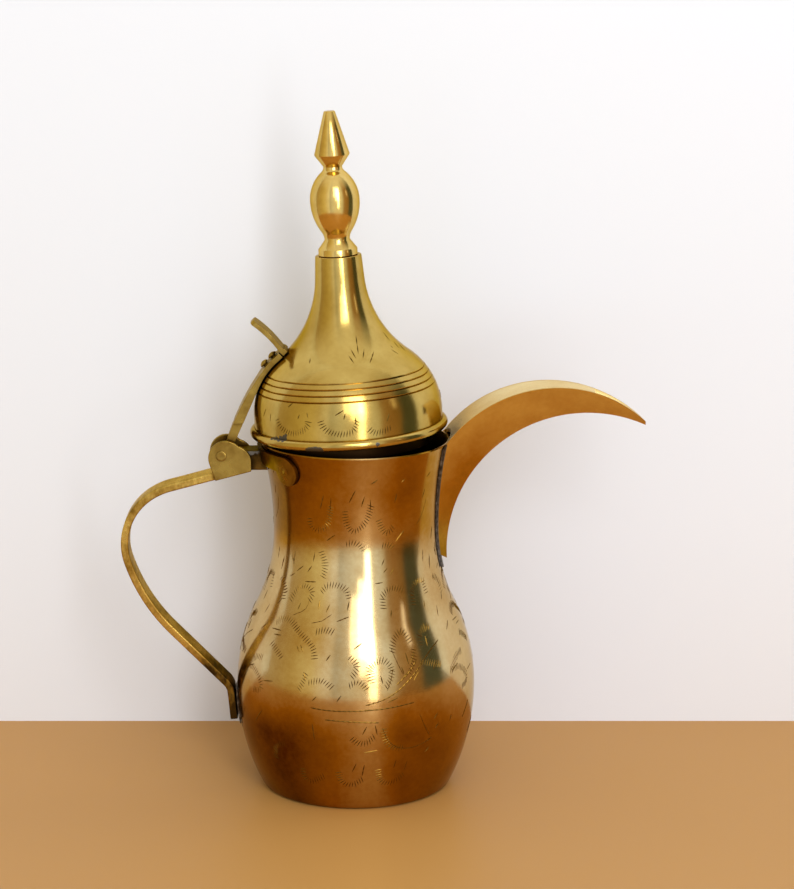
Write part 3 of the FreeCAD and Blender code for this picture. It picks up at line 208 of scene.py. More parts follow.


# Spun brass sheet, hand polished: mirror-like. It is browner near the foot and under the rim, partly real
# tarnish and partly painted shade on its reflections; less of that shows in an upright band down the front, a
# painted reflection of the window, and the left side keeps more of it, a painted darker reflection.
body_brass = brass(
    "polished_spun_brass", "#d9c391", "#a8761f", "#5c3409", 0.12, 0.18, (0.25, 0.25, 5.0), stain_mm=40.0,
    cloudy=0.5, edge="#f0e6d0",
    darkening_by_height=[(0, 0.42), (34, 0.4), (50, 0.14), (60, 0.0), (104, 0.0), (116, 0.3), (152, 0.36)],
    stain_and_painted_light_by_x=[(-52, 1.0), (-24, 0.92), (-9, 0.6), (3, 0.14), (9, 0.14), (19, 0.62), (30, 0.6), (52, 0.4)])
# The inside of the pot, never polished: dull, almost black brown, partly from coffee and heat and partly
# painted shade; the lid's collar takes it too, as painted shade in the gap under the lid.
inside_stain_and_shade_brass = brass("coffee_stained_shaded_brass", "#2e1f0e", "#1a1007", "#0c0703", 0.4, 0.55, stain_mm=20.0)
# The same sheet where the chasing tool cut it: darker, with tarnish kept in the cuts.
cut_brass = brass("tarnished_cut_brass", "#76571f", "#4e3713", "#2e1f0a", 0.24, 0.34, stain_mm=14.0)
# Cuts in the lid, where more polish and dirt has dried: darker still and dull.
dark_cut_brass = brass("dirt_filled_cut_brass", "#67501f", "#463312", "#281c0a", 0.35, 0.45, stain_mm=14.0)
# Cut and folded brass sheet, rubbed with fine grit: satin, a little browner than the body.
spout_brass = brass(
    "satin_folded_brass", "#f2da98", "#bf8e36", "#6a4412", 0.17, 0.25, (1.0, 3.0, 1.0), stain_mm=38.0,
    darkening_by_height=[(0, 0.24), (112, 0.24), (140, 0.14), (165, 0.0), (176, 0.0)])
# The spout's top plate: paler than the spout's sheet along its crown, a painted highlight, and darker where
# it goes down to the rim, painted shade for the shadowed wall and lid that it mirrors there.
plate_highlight_and_shade_brass = brass(
    "plate_brass_painted_highlight_and_shade", "#fdf3cf", "#c09a48", "#3c2c0e", 0.14, 0.3, (1.0, 3.0, 1.0), stain_mm=30.0,
    cloudy=0.4, edge="#fff0c8",
    darkening_by_height=[(0, 0.5), (142, 0.5), (156, 0.36), (166, 0.08), (170, 0.0), (176, 0.0)])
# Lathe-turned and buffed brass: the yellowest metal on the pot, with grey solder smears, and darker where
# pieces meet by ambient occlusion, painted shade.
lid_brass = brass(
    "buffed_turned_brass", "#cbae62", "#a48236", "#58401a", 0.14, 0.24, (0.25, 0.25, 6.0), corners=0.9,
    spots=LID_SMEARS)
# The finial, turned from bar: the lid's metal painted lighter, standing in for brighter reflections.
finial_lightened_brass = brass("lightened_turned_brass", "#e6c678", "#b8943e", "#775a22", 0.13, 0.22, (0.25, 0.25, 6.0))
# Hand-filed brass bar: dull olive with soft file marks, and darker in its corners by ambient occlusion,
# painted shade that also stands for tarnish.
bar_brass = brass(
    "filed_bar_brass", "#a28640", "#745822", "#3a2a10", 0.26, 0.4, (0.8, 0.3, 0.8), 0.08, stain_mm=11.0,
    cloudy=1.0, corners=4.0)
# The handle strap, filed across its edge: the same bar with coarser marks, drawn wide enough to show. It is
# painted lighter than the bar as a lit copy, darker in its corners by ambient occlusion as painted shade, and
# darker on its foot below about 57 mm, partly solder dirt and partly painted shade.
strap_lit_and_shaded_brass = brass(
    "cross_filed_bar_brass", "#d2b05a", "#94722c", "#3c2b0f", 0.26, 0.4, (0.8, 0.1, 0.5), 0.9, stain_mm=14.0,
    cloudy=1.0, corners=4.0, darkening_by_height=[(0, 0.45), (50, 0.4), (57, 0.06), (66, 0.0), (152, 0.0)])
# The bracket round the neck: a darker copy of the filed bar, painted shade, darker still on its stem, partly
# tarnish and partly painted shade, and darker in its corners by ambient occlusion, also painted shade.
bracket_shade_and_tarnish_brass = brass(
    "shaded_tarnished_bar_brass", "#a07c34", "#6a4c1c", "#2c1e09", 0.26, 0.4, (0.8, 0.3, 0.8), 0.08, stain_mm=11.0,
    cloudy=1.0, corners=4.0, darkening_by_height=[(0, 0.4), (152, 0.4)], spots=BRACKET_SMEARS,
    stain_and_painted_light_by_x=[(-60, 1.0), (-42, 1.0), (-36, 0.05), (60, 0.05)])


def solder_metal(name):
    """Tin solder, wiped by hand: soft grey, lumpy, with darker flux in its hollows."""
    material, tree, shader = start_material(name)
    coords = add(tree, "TexCoord")["Object"]
    lumps = add(tree, "TexNoise", {
        "Vector": coords, "Scale": 1000 / LUMP_MM, "Detail": 4.0, "Roughness": 0.6})["Fac"]
    colour = add(tree, "ValToRGB", {"Fac": lumps}, stops=[
        (0.35, linear("#2c241b")), (0.55, linear("#5a5044")), (0.75, linear("#8d857a"))])["Color"]
    bump = add(tree, "Bump", {"Height": lumps, "Strength": 0.8, "Distance": 0.0005})["Normal"]
    plug(tree, shader, {"Base Color": colour, "Normal": bump, "Metallic": 0.9, "Roughness": 0.42})
    return material


solder = solder_metal("wiped_tin_solder")


# Drawing and shaping


# Edges that turn by more degrees than this are drawn sharp.
SHARP = 35.0


def verts_of(geom):
    return [g for g in geom if isinstance(g, bmesh.types.BMVert)]


def draw(bm, start, *moves, closed=False, edge=1.2):
    """Draw edges in the XZ plane. A move is (x, z) for a line or (x, z, centre x, centre z) for an arc."""
    first = bm.verts.new((start[0], 0, start[1]))
    vert = first
    for move in moves:
        goal = Vector((move[0], 0, move[1]))
        if len(move) == 2:
            vert = ops.extrude_vert_indiv(bm, verts=[vert])["verts"][0]
        else:
            centre = Vector((move[2], 0, move[3]))
            from_centre, to_goal = vert.co - centre, goal - centre
            angle = atan2(to_goal.x, to_goal.z) - atan2(from_centre.x, from_centre.z)
            angle = (angle + pi) % (2 * pi) - pi
            steps = max(3, ceil(abs(angle) * to_goal.length / edge))
            spun = ops.spin(bm, geom=[vert], cent=centre, axis=(0, 1, 0), angle=angle, steps=steps)
            vert = verts_of(spun["geom_last"])[0]
        vert.co = goal
    if closed:
        bm.edges.new((vert, first))


def lathe(steps, *outline, **how):
    """Draw an outline and turn it a full circle about Z."""
    bm = bmesh.new()
    draw(bm, *outline, **how)
    ops.spin(bm, geom=bm.verts[:] + bm.edges[:], cent=(0, 0, 0), axis=(0, 0, 1), angle=2 * pi, steps=steps,
             use_merge=True)
    ops.remove_doubles(bm, verts=bm.verts, dist=0.0005)
    ops.recalc_face_normals(bm, faces=bm.faces)
    return bm


def slab(width, *outline):
    """Draw a closed outline, fill it and give it a width along Y, half to each side."""
    bm = bmesh.new()
    draw(bm, *outline, closed=True)
    face = ops.contextual_create(bm, geom=bm.edges)["faces"]
    ops.translate(bm, vec=(0, -width / 2, 0), verts=bm.verts)
    grown = ops.extrude_face_region(bm, geom=face)["geom"]
    ops.translate(bm, vec=(0, width, 0), verts=verts_of(grown))
    ops.recalc_face_normals(bm, faces=bm.faces)
    return bm


def mesh_of(name, bm):
    mesh = bpy.data.meshes.new(name)
    bm.to_mesh(mesh)
    bm.free()
    return mesh


def join(bm, other):
    """Add another bmesh to this one."""
    mesh = mesh_of("part", other)
    bm.from_mesh(mesh)
    bpy.data.meshes.remove(mesh)


def new_object(name, data):
    """Put a mesh, a lamp or the camera into the scene."""
    obj = bpy.data.objects.new(name, data)
    bpy.context.scene.collection.objects.link(obj)
    return obj


def piece(name, bm, body, slot, material, *nodes, place=None, bevel=0.0, sharp=SHARP):
    """Make the finished mesh an object of the pot, in metres."""
    if place:
        bm.transform(place)
    bm.transform(Matrix.Scale(MM, 4))
    obj = new_object(name, mesh_of(name, bm))
    obj.data.shade_smooth()
    obj.data.set_sharp_from_angle(angle=radians(sharp))
    obj.data.materials.append(material)
    if bevel:
        soften = obj.modifiers.new("edge", "BEVEL")
        soften.width = bevel * MM
        soften.segments = 3
        soften.limit_method = "ANGLE"
        soften.angle_limit = radians(sharp)
        soften.harden_normals = True
    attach(obj, body)
    if nodes:
        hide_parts(*nodes)
    return obj


def cad_copy(node):
    """The solid's own mesh, merged, in millimetres."""
    bm = bmesh.new()
    bm.from_mesh(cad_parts[node].data)
    ops.remove_doubles(bm, verts=bm.verts, dist=1e-7)
    ops.scale(bm, vec=(1 / MM,) * 3, verts=bm.verts)
    ops.dissolve_limit(bm, angle_limit=radians(0.5), verts=bm.verts, edges=bm.edges)
    return bm


def cut(obj, *cutters):
    """Take cutters, bmeshes in millimetres, out of an object and keep the result as its mesh."""
    helpers = []
    for bm in cutters:
        bm.transform(Matrix.Scale(MM, 4))
        helper = new_object("cutter", mesh_of("cutter", bm))
        modifier = obj.modifiers.new("cut", "BOOLEAN")
        modifier.operation = "DIFFERENCE"
        modifier.solver = "EXACT"
        modifier.object = helper
        helpers.append(helper)
    bpy.context.view_layer.update()
    graph = bpy.context.evaluated_depsgraph_get()
    cleaned = bpy.data.meshes.new_from_object(obj.evaluated_get(graph))
    obj.modifiers.clear()
    obj.data = cleaned
    cleaned.shade_smooth()
    cleaned.set_sharp_from_angle(angle=radians(SHARP))
    for helper in helpers:
        bpy.data.objects.remove(helper)


# Body


# Hole in the neck behind the spout, pointing down: half width, and how far under the rim it starts and ends.
HOLE_HALF, HOLE_TOP, HOLE_POINT = 8.0, 9.0, 39.0
# Recess turned into the base disc, the rounding of its edge and its gap in the body.
RECESS_RADIUS, RECESS_DEPTH, DISC_EDGE, DISC_GAP = 12.0, 0.25, 0.3, 0.05


def radius_at(z):
    """Outer radius of the body at a height."""
    if z > NECK_HEIGHT:
        return NECK_RADIUS + FLARE - sqrt(FLARE ** 2 - (z - NECK_HEIGHT) ** 2)
    if z > TURN_HEIGHT:
        return NECK_RADIUS + HOLLOW - sqrt(HOLLOW ** 2 - (NECK_HEIGHT - z) ** 2)
    if z > BELLY_HEIGHT:
        return BELLY_RADIUS - SWELL + sqrt(SWELL ** 2 - (z - BELLY_HEIGHT) ** 2)
    return BELLY_RADIUS - FOOT + sqrt(FOOT ** 2 - (BELLY_HEIGHT - z) ** 2)


def body_side(skin):
    """Moves up the body's side from the foot to the rim, grown by skin."""
    foot_x, swell_x, hollow_x, flare_x = (
        BELLY_RADIUS - FOOT, BELLY_RADIUS - SWELL, NECK_RADIUS + HOLLOW, NECK_RADIUS + FLARE)
    share = (HOLLOW - skin) / WAIST
    return [
        (BELLY_RADIUS + skin, BELLY_HEIGHT, foot_x, BELLY_HEIGHT),
        (hollow_x - (hollow_x - swell_x) * share, NECK_HEIGHT - (NECK_HEIGHT - BELLY_HEIGHT) * share,
         swell_x, BELLY_HEIGHT),
        (NECK_RADIUS + skin, NECK_HEIGHT, hollow_x, NECK_HEIGHT),
        (flare_x - sqrt((FLARE - skin) ** 2 - (RIM_HEIGHT - NECK_HEIGHT) ** 2), RIM_HEIGHT,
         flare_x, NECK_HEIGHT),
    ]


def body_core(skin):
    """A solid of the body's outside, for trimming the spout to the neck."""
    return lathe(96, (0, 20), (radius_at(20) + skin, 20), *body_side(skin), (0, RIM_HEIGHT))


def make_body():
    skin = -CHASING_ROOM
    foot_x = BELLY_RADIUS - FOOT
    edge_x = foot_x + sqrt((FOOT - BASE_EDGE) ** 2 - (BELLY_HEIGHT - BASE_EDGE) ** 2)

    def edge_point(radius):
        share = radius / (FOOT - BASE_EDGE)
        return foot_x + (edge_x - foot_x) * share, BELLY_HEIGHT - (BELLY_HEIGHT - BASE_EDGE) * share

    outside, inside = body_side(skin), body_side(-BODY_WALL)
    rim_out, rim_in = outside[-1][0], inside[-1][0]
    lip = (rim_out - rim_in) / 2
    up = outside[:-1] + [(rim_out, RIM_HEIGHT - lip) + outside[-1][2:]]
    down = [(inside[n][0], inside[n][1]) + inside[n + 1][2:] for n in (2, 1, 0)]
    seat = DISC_RADIUS + DISC_GAP
    bm = lathe(
        192, (seat, 0), (edge_x, 0), edge_point(FOOT + skin) + (edge_x, BASE_EDGE), *up,
        (rim_in, RIM_HEIGHT - lip, rim_in + lip, RIM_HEIGHT - lip), *down,
        edge_point(FOOT - BODY_WALL) + (foot_x, BELLY_HEIGHT),
        (edge_x, BODY_WALL, edge_x, BASE_EDGE), (seat, BODY_WALL), closed=True, edge=1.6)
    # the inside and the floor of the pot were never polished; their almost black colour is partly painted
    # shade
    for face in bm.faces:
        middle = face.calc_center_median()
        if face.normal.xy.dot(middle.xy) < 0 or abs(middle.z - BODY_WALL) < 0.01:
            face.material_index = 1
    body = piece("body_shell_polished", bm, "pot", "body_brass", body_brass, "body_shell")
    body.data.materials.append(inside_stain_and_shade_brass)
    window = slab(40, (-HOLE_HALF, RIM_HEIGHT - HOLE_TOP), (HOLE_HALF, RIM_HEIGHT - HOLE_TOP),
                  (0, RIM_HEIGHT - HOLE_POINT))
    window.transform(Matrix.Translation((40, 0, 0)) @ Matrix.Rotation(pi / 2, 4, "Z"))
    cut(body, window)


def make_base():
    bm = lathe(
        96, (0, RECESS_DEPTH), (RECESS_RADIUS, RECESS_DEPTH), (RECESS_RADIUS + 0.4, 0),
        (DISC_RADIUS - DISC_EDGE, 0), (DISC_RADIUS, DISC_EDGE, DISC_RADIUS - DISC_EDGE, DISC_EDGE),
        (DISC_RADIUS, DISC_THICKNESS), (0, DISC_THICKNESS), edge=0.2)
    piece("base_disc_turned", bm, "pot", "body_brass", body_brass, "base_disc")


# Spout


# In side view the beak is a crescent between two arcs: centre, radius, and start and turn in degrees.
TOP_CENTRE, TOP_RADIUS = Vector((RIM_RADIUS + 43.1, RIM_HEIGHT - 33.5)), 56.5
TOP_START, TOP_TURN = -100.0, 144.5
KEEL_CENTRE, KEEL_RADIUS = Vector((RIM_RADIUS + 58.1, RIM_HEIGHT - 49.0)), 59.5
KEEL_START, KEEL_TURN = -93.5, 118.0
# Half width at the tip, and what it gains towards the neck.
TIP_HALF, SPREAD = 0.8, 15.7
SPOUT_SHEET, SPOUT_PLATE = 1.1, 1.0
# The plate stops at this share of the crescent and leaves the mouth open.
PLATE_END = 0.82
WALL_SLICES, PLATE_SLICES = 56, 46
# How far the walls go into the neck's skin, and the room left round the lid's bead.
SPOUT_SUNK, BEAD_ROOM = 0.2, 0.8


def spout_station(share):
    """Keel and top points of the crescent in side view, and its half width."""
    top = radians(TOP_START + TOP_TURN * share)
    keel = radians(KEEL_START + KEEL_TURN * share)
    half = TIP_HALF + SPREAD * (1 - share ** 2)
    return (KEEL_CENTRE + KEEL_RADIUS * Vector((sin(keel), cos(keel))),
            TOP_CENTRE + TOP_RADIUS * Vector((sin(top), cos(top))), half)


def loft(shares, section):
    """Join the loops that section(half width, depth) gives along the crescent."""
    bm = bmesh.new()
    loops = []
    for share in shares:
        keel, top, half = spout_station(share)
        depth = (top - keel).length
        way = (top - keel) / depth
        verts = [bm.verts.new((keel.x + way.x * v, y, keel.y + way.y * v)) for y, v in section(half, depth)]
        loops.append([bm.edges.new((verts[n - 1], verts[n])) for n in range(len(verts))])
    for before, after in zip(loops, loops[1:]):
        ops.bridge_loops(bm, edges=before + after)
    for loop in (loops[0], loops[-1]):
        ops.contextual_create(bm, geom=loop)
    ops.remove_doubles(bm, verts=bm.verts, dist=0.001)
    ops.recalc_face_normals(bm, faces=bm.faces)
    return bm


def across(half, depth):
    """The sheet's thickness, measured along Y."""
    return SPOUT_SHEET * sqrt(1 + (half / depth) ** 2)


def bead_room():
    """The space the lid's bead needs above the rim."""
    radius = LID_RADIUS + FIT + BEAD + BEAD_ROOM
    low, high = RIM_HEIGHT - FIT, RIM_HEIGHT + 60
    bm = lathe(96, (0, low), (radius, low), (radius, high), (0, high))
    bm.transform(Matrix.Translation((LID_SEAT.x, 0, 0)))
    return bm


def make_spout():
    def wall(side):
        def section(half, depth):
            sheet = across(half, depth)
            inner = max(half - sheet, 0.02)
            keel = min(sheet * depth / half, depth - 0.02)
            return [(0, 0), (side * half, depth), (side * inner, depth), (0, keel)]
        return section

    def plate(half, depth):
        inner = half - across(half, depth) - FIT
        lower = inner * (1 - SPOUT_PLATE / (depth - across(half, depth) * depth / half))
        under = depth - SPOUT_PLATE
        return [(lower, under), (inner, depth), (-inner, depth), (-lower, under)]

    whole = [n / WALL_SLICES for n in range(WALL_SLICES + 1)]
    covered = [PLATE_END * n / PLATE_SLICES for n in range(PLATE_SLICES + 1)]
    for node, work, shares, section, metal in (
            ("spout_near_wall", "_folded", whole, wall(-1), spout_brass),
            ("spout_far_wall", "_folded", whole, wall(1), spout_brass),
            ("spout_top_plate", "_fitted", covered, plate, plate_highlight_and_shade_brass)):
        made = piece(node + work, loft(shares, section), "pot", "spout_brass", metal, node)
        cut(made, body_core(-SPOUT_SUNK), bead_room())


# Handle, bracket and hinge


# The strap's middle line from the hinge box to its foot: where it starts, how it falls there, and then a
# length for each straight run and a (radius, new fall in degrees) for each bend.
STRAP_START, STRAP_SLOPE = Vector((-45.4, 0, 139.98)), radians(14.9)
STRAP_PATH = [34.0, (30.0, 29.3), (25.1, 108.0), (77.4, 134.4), 32.75, (7.2, 95.48), 12.0]
# The arm: how far it goes up the dome's sweep, its bow, the turn over which it follows the shoulder, what its
# foot gains outside, and its middle line's distance from the pin.
ARM_END, ARM_BOW, ARM_FOLLOWS, ARM_FOOT, PIN_SIDE = 2.6, 2.2, 0.12, 0.4, 2.0
ARM_MIDDLE = SHOULDER + FIT + ARM_THICKNESS / 2
ARM_STOP = MEET - ARM_END / SWEEP
# Below this height the strap narrows to a tongue, with play between the cheeks.
TONGUE_TOP, TONGUE_STEP, TONGUE_PLAY, KNUCKLE_RADIUS = 5.0, 0.2, 1.4, 3.4
LEVER_WIDTH, LEVER_LENGTH, LEVER_THICKNESS, LEVER_LEAN = 12.0, 17.5, 1.9, radians(42)
# Where the leaf's foot starts and stops behind the arm's end, the leaf's bow and its tip's corners.
LEVER_START, LEVER_STOP, LEVER_BOW, LEVER_CORNER = 0.4, 3.0, 48.0, 4.0
# The arm's rivets: how far behind the shoulder's end they sit, and their outline from shank to crown.
RIVET_PLACES = (0.9, 5.4)
RIVET_OUTLINE = [
    (1.15, -2.0), (1.15, 0.45), (1.7, 0.45), (2.0, 0.75, 1.7, 0.75), (2.0, 0.95), (0, 1.9, 0, -0.68)]
# Half of the hinge pin's outline, from the middle of a head to the shaft.
PIN_OUTLINE = [(0, 8.06), (1.3, 8.08), (1.8, 8.12), (2.1, 8.04), (2.25, 7.83), (1.9, 7.83)]


def make_handle():
    bm = bmesh.new()
    place, heading = STRAP_START, STRAP_SLOPE
    thick, wide = STRAP_THICKNESS / 2, STRAP_WIDTH / 2
    across_bar = Vector((-sin(heading), 0, cos(heading)))
    verts = [bm.verts.new(place + across_bar * t + Vector((0, y, 0)))
             for t, y in ((-thick, -wide), (-thick, wide), (thick, wide), (thick, -wide))]
    loop = [bm.edges.new((verts[n - 1], verts[n])) for n in range(4)]
    ops.contextual_create(bm, geom=loop)
    for move in STRAP_PATH:
        if isinstance(move, tuple):
            radius, fall = move
            angle = radians(fall) - heading
            side = copysign(1, angle)
            centre = place + Vector((sin(heading), 0, -cos(heading))) * radius * side
            steps = max(4, ceil(abs(angle) * radius / 1.5))
            grown = ops.spin(bm, geom=loop, cent=centre, axis=(0, -1, 0), angle=angle,
                             steps=steps)["geom_last"]
            place = centre + Matrix.Rotation(angle, 3, (0, -1, 0)) @ (place - centre)
            heading += angle
        else:
            step = Vector((-cos(heading), 0, -sin(heading))) * move
            grown = ops.extrude_edge_only(bm, edges=loop)["geom"]
            ops.translate(bm, vec=step, verts=verts_of(grown))
            place = place + step
        loop = [g for g in grown if isinstance(g, bmesh.types.BMEdge) and all(v in grown for v in g.verts)]
    ops.contextual_create(bm, geom=loop)
    ops.recalc_face_normals(bm, faces=bm.faces)
    piece("handle_strap_forged", bm, "pot", "hardware_brass", strap_lit_and_shaded_brass, "handle_strap", bevel=0.6)


def bow_centre(start, goal, rise):
    """Centre of the arc from start to goal that stands rise above the straight line, on its left side."""
    start, goal = Vector(start), Vector(goal)
    way = goal - start
    radius = arc_radius(rise, way.length / 2)
    return tuple((start + goal) / 2 + Vector((way.y, -way.x)).normalized() * (rise - radius))


def on_sweep(out, angle):
    """A point above the lid's sweep on the hinge side."""
    radius = SWEEP - FIT - out
    return -SWEEP_X + radius * cos(angle), SWEEP_Z - radius * sin(angle)


def on_shoulder(radius, angle):
    """A point of the lid's shoulder, or beside it, on the spout side."""
    return DOME_X + radius * cos(angle), LID_SIDE + radius * sin(angle)


def on_arm(shift, angle):
    """A point beside the arm's middle line, where it follows the lid's shoulder."""
    x, z = on_shoulder(ARM_MIDDLE + shift, angle)
    return -x, z


def make_arm():
    half = ARM_THICKNESS / 2
    pin = HINGE - LID_SEAT
    reach = hypot(pin.x + DOME_X, pin.z - LID_SIDE)
    leave = acos((ARM_MIDDLE + PIN_SIDE) / reach) - atan2(LID_SIDE - pin.z, -DOME_X - pin.x)

    def beside_pin(shift):
        return pin.x + (PIN_SIDE - shift) * cos(leave), pin.z - (PIN_SIDE - shift) * sin(leave)

    dome, sweep = (-DOME_X, LID_SIDE), (-SWEEP_X, SWEEP_Z)
    top, foot = on_arm(half, MEET - ARM_FOLLOWS), beside_pin(half + ARM_FOOT)
    bm = slab(
        ARM_WIDTH, on_sweep(ARM_THICKNESS, ARM_STOP), on_arm(half, MEET) + sweep, top + dome,
        foot + bow_centre(top, foot, ARM_BOW), beside_pin(-half), on_arm(-half, leave),
        on_arm(-half, MEET) + dome, on_sweep(0, ARM_STOP) + sweep)
    # the strap is narrowed where it passes between the cheeks
    for height in (TONGUE_TOP, TONGUE_TOP - TONGUE_STEP):
        ops.bisect_plane(bm, geom=bm.verts[:] + bm.edges[:] + bm.faces[:], dist=0.001,
                         plane_co=(0, 0, height), plane_no=(0, 0, 1))
    tongue = [v for v in bm.verts if v.co.z < TONGUE_TOP - TONGUE_STEP / 2]
    ops.scale(bm, vec=(1, (TONGUE_WIDTH - TONGUE_PLAY) / ARM_WIDTH, 1), verts=tongue)
    ops.create_cone(bm, cap_ends=True, segments=48, radius1=KNUCKLE_RADIUS, radius2=KNUCKLE_RADIUS,
                    depth=TONGUE_WIDTH, matrix=Matrix.Translation(pin) @ Matrix.Rotation(pi / 2, 4, "X"))
    piece("lid_arm_bent", bm, "lid", "hardware_brass", bar_brass, "lid_arm", place=LID_PLACE, bevel=0.35)


def make_lever():
    """The thumb leaf, a little bowed, with a rounded tip."""
    start, stop = ARM_STOP - LEVER_START / SWEEP, ARM_STOP - LEVER_STOP / SWEEP
    thick = LEVER_THICKNESS
    root = Vector(on_sweep(thick, start))
    way = Vector((-sin(LEVER_LEAN), cos(LEVER_LEAN)))
    out = Vector((cos(LEVER_LEAN), sin(LEVER_LEAN)))
    tip, heel = root + way * LEVER_LENGTH, root + out * thick * 1.1
    tip_back = tip + out * thick
    bow = (root + tip) / 2 - out * LEVER_BOW
    bm = slab(
        LEVER_WIDTH, on_sweep(0, start), tuple(root), tuple(tip) + tuple(bow), tuple(tip_back),
        tuple(heel) + tuple(bow), on_sweep(thick, stop), on_sweep(0, stop))
    corners = [
        e for e in bm.edges if abs(e.verts[0].co.y) > LEVER_WIDTH / 2 - 0.1
        and abs(e.calc_length() - thick) < 0.05 and min((v.co.xz - tip).length for v in e.verts) < 0.01]
    ops.bevel(bm, geom=corners, offset=LEVER_CORNER, offset_type="OFFSET", segments=8, profile=0.5,
              affect="EDGES", material=-1)
    node = "thumb_lever"
    piece(node + "_bent", bm, "lid", "hardware_brass", bar_brass, node, place=LID_PLACE, bevel=0.4)


def make_arm_rivets():
    """Two rivets with heads standing a little proud of the arm."""
    bm = bmesh.new()
    for back in RIVET_PLACES:
        angle = MEET - back / SHOULDER
        x, z = on_arm(ARM_THICKNESS / 2, angle)
        stud = lathe(40, *RIVET_OUTLINE, edge=0.25)
        stud.transform(Matrix.Translation((x, 0, z)) @ Matrix.Rotation(angle - pi / 2, 4, "Y"))
        join(bm, stud)
    piece("arm_rivets_set", bm, "lid", "hardware_brass", bar_brass, "arm_rivets", place=LID_PLACE)


def make_pin():
    """The hinge pin: two flat riveted-over heads on the shaft."""
    bm = lathe(48, *[(x, -z) for x, z in PIN_OUTLINE], *PIN_OUTLINE[::-1])
    piece("hinge_pin_set", bm, "pot", "hardware_brass", bar_brass, "hinge_pin",
          place=Matrix.Translation(HINGE) @ Matrix.Rotation(pi / 2, 4, "X"))


def make_hardware():
    make_arm()
    make_lever()
    make_arm_rivets()
    make_pin()
    for node, edge, metal in (
            ("hinge_bracket", 0.3, bracket_shade_and_tarnish_brass), ("hinge_cheek_near", 0.35, bar_brass),
            ("hinge_cheek_far", 0.35, bar_brass), ("bracket_rivets", 0.0, bracket_shade_and_tarnish_brass),
            ("bracket_rivet_roves", 0.0, bracket_shade_and_tarnish_brass)):
        piece(node + "_filed", cad_copy(node), "pot", "hardware_brass", metal, node, bevel=edge)
    node = "arm_rivet_roves"
    piece(node + "_filed", cad_copy(node), "lid", "hardware_brass", bar_brass, node)


# Lid


# Scribed rings round the shoulder: degrees up from its foot, half width and depth.
RING_ANGLES, RING_HALF, RING_DEPTH = (22, 27, 32, 37), 0.42, 0.38
# The spire's flat top: rounding of its edge, what the taper adds there, thickness, and wall under it.
TOP_EDGE, TOP_TAPER, TOP_THICKNESS, TOP_WALL = 0.4, 0.03, 1.2, 0.9
# Share of the bead's radius that is flat above and below.
BEAD_FLAT = 0.2
TENON_RADIUS, TENON_LENGTH = 3.0, 7.5
# The collar's gap in the neck, measured this far under the rim, its length and its wall.
COLLAR_GAP, COLLAR_AT, COLLAR_LENGTH, COLLAR_WALL = 2.6, 5.0, 7.0, 1.0
# The finial's foot, waist, bulb, neck, cone and tip as (radius, height above its foot).
FINIAL = [(8.2, 3.0), (5.3, 6.5), (10.4, 23.0), (3.9, 37.0), (7.45, 42.0), (2.3, 60.0)]
# How much of the way to the bulb is hollow, from the waist and from the neck.
WAIST_SHARE, NECK_SHARE = 0.2, 0.15


def make_lid():
    centre = (DOME_X, LID_SIDE)
    moves = [(LID_RADIUS, LID_SIDE)]
    for angle in RING_ANGLES:
        middle, reach = radians(angle), RING_HALF / SHOULDER
        moves += [on_shoulder(SHOULDER, middle - reach) + centre,
                  on_shoulder(SHOULDER - RING_DEPTH, middle),
                  on_shoulder(SHOULDER, middle + reach)]
    under, edge_x, edge_z = LID_HEIGHT - TOP_THICKNESS, SPIRE_RADIUS - TOP_EDGE, LID_HEIGHT - TOP_EDGE
    moves += [
        on_shoulder(SHOULDER, MEET) + centre, (JOINT_X, JOINT_Z, SWEEP_X, SWEEP_Z),
        (SPIRE_RADIUS + TOP_TAPER, edge_z), (edge_x, LID_HEIGHT, edge_x, edge_z),
        (TENON_RADIUS + FIT, LID_HEIGHT), (TENON_RADIUS + FIT, under), (SPIRE_RADIUS - TOP_WALL, under),
        (JOINT_X - cos(TAPER), JOINT_Z - sin(TAPER)),
        on_shoulder(SHOULDER - LID_WALL, MEET) + (SWEEP_X, SWEEP_Z),
        (LID_RADIUS - LID_WALL, LID_SIDE) + centre, (LID_RADIUS - LID_WALL, -BEAD)]
    bm = lathe(192, (LID_RADIUS, -BEAD), *moves, closed=True, edge=1.3)
    piece("lid_dome_buffed", bm, "lid", "lid_brass", lid_brass, "lid_dome", place=LID_PLACE, sharp=28)

    # the bead is nearly half round, drawn as two arcs that meet at its middle
    inner = LID_RADIUS + FIT
    flat, rest = inner + BEAD_FLAT * BEAD, (1 - BEAD_FLAT) * BEAD
    half_chord = hypot(rest, BEAD) / 2
    side = Vector((BEAD, -rest)).normalized() * sqrt(BEAD ** 2 - half_chord ** 2)
    low = Vector((flat + rest / 2 - side.x, -BEAD / 2 - side.y))
    bm = lathe(
        192, (inner, -BEAD), (flat, -BEAD), (inner + BEAD, 0, low.x, low.y),
        (flat, BEAD, low.x, -low.y), (inner, BEAD), closed=True, edge=0.3)
    piece("lid_rim_bead_turned", bm, "lid", "lid_brass", lid_brass, "lid_rim_bead", place=LID_PLACE, sharp=60)

    height = RIM_HEIGHT - COLLAR_AT
    neck_inside = NECK_RADIUS + FLARE - sqrt((FLARE + BODY_WALL) ** 2 - (height - NECK_HEIGHT) ** 2)
    collar = neck_inside - COLLAR_GAP
    bore, flange = collar - COLLAR_WALL, LID_RADIUS - LID_WALL - FIT
    bm = lathe(
        128, (bore, -COLLAR_LENGTH), (collar, -COLLAR_LENGTH), (collar, 0), (flange, 0),
        (flange, COLLAR_WALL), (bore, COLLAR_WALL), closed=True)
    # the collar takes the almost black inside colour, painted shade in the gap between the lid and the rim
    piece("lid_collar_turned", bm, "lid", "lid_brass", inside_stain_and_shade_brass, "lid_collar", place=LID_PLACE)


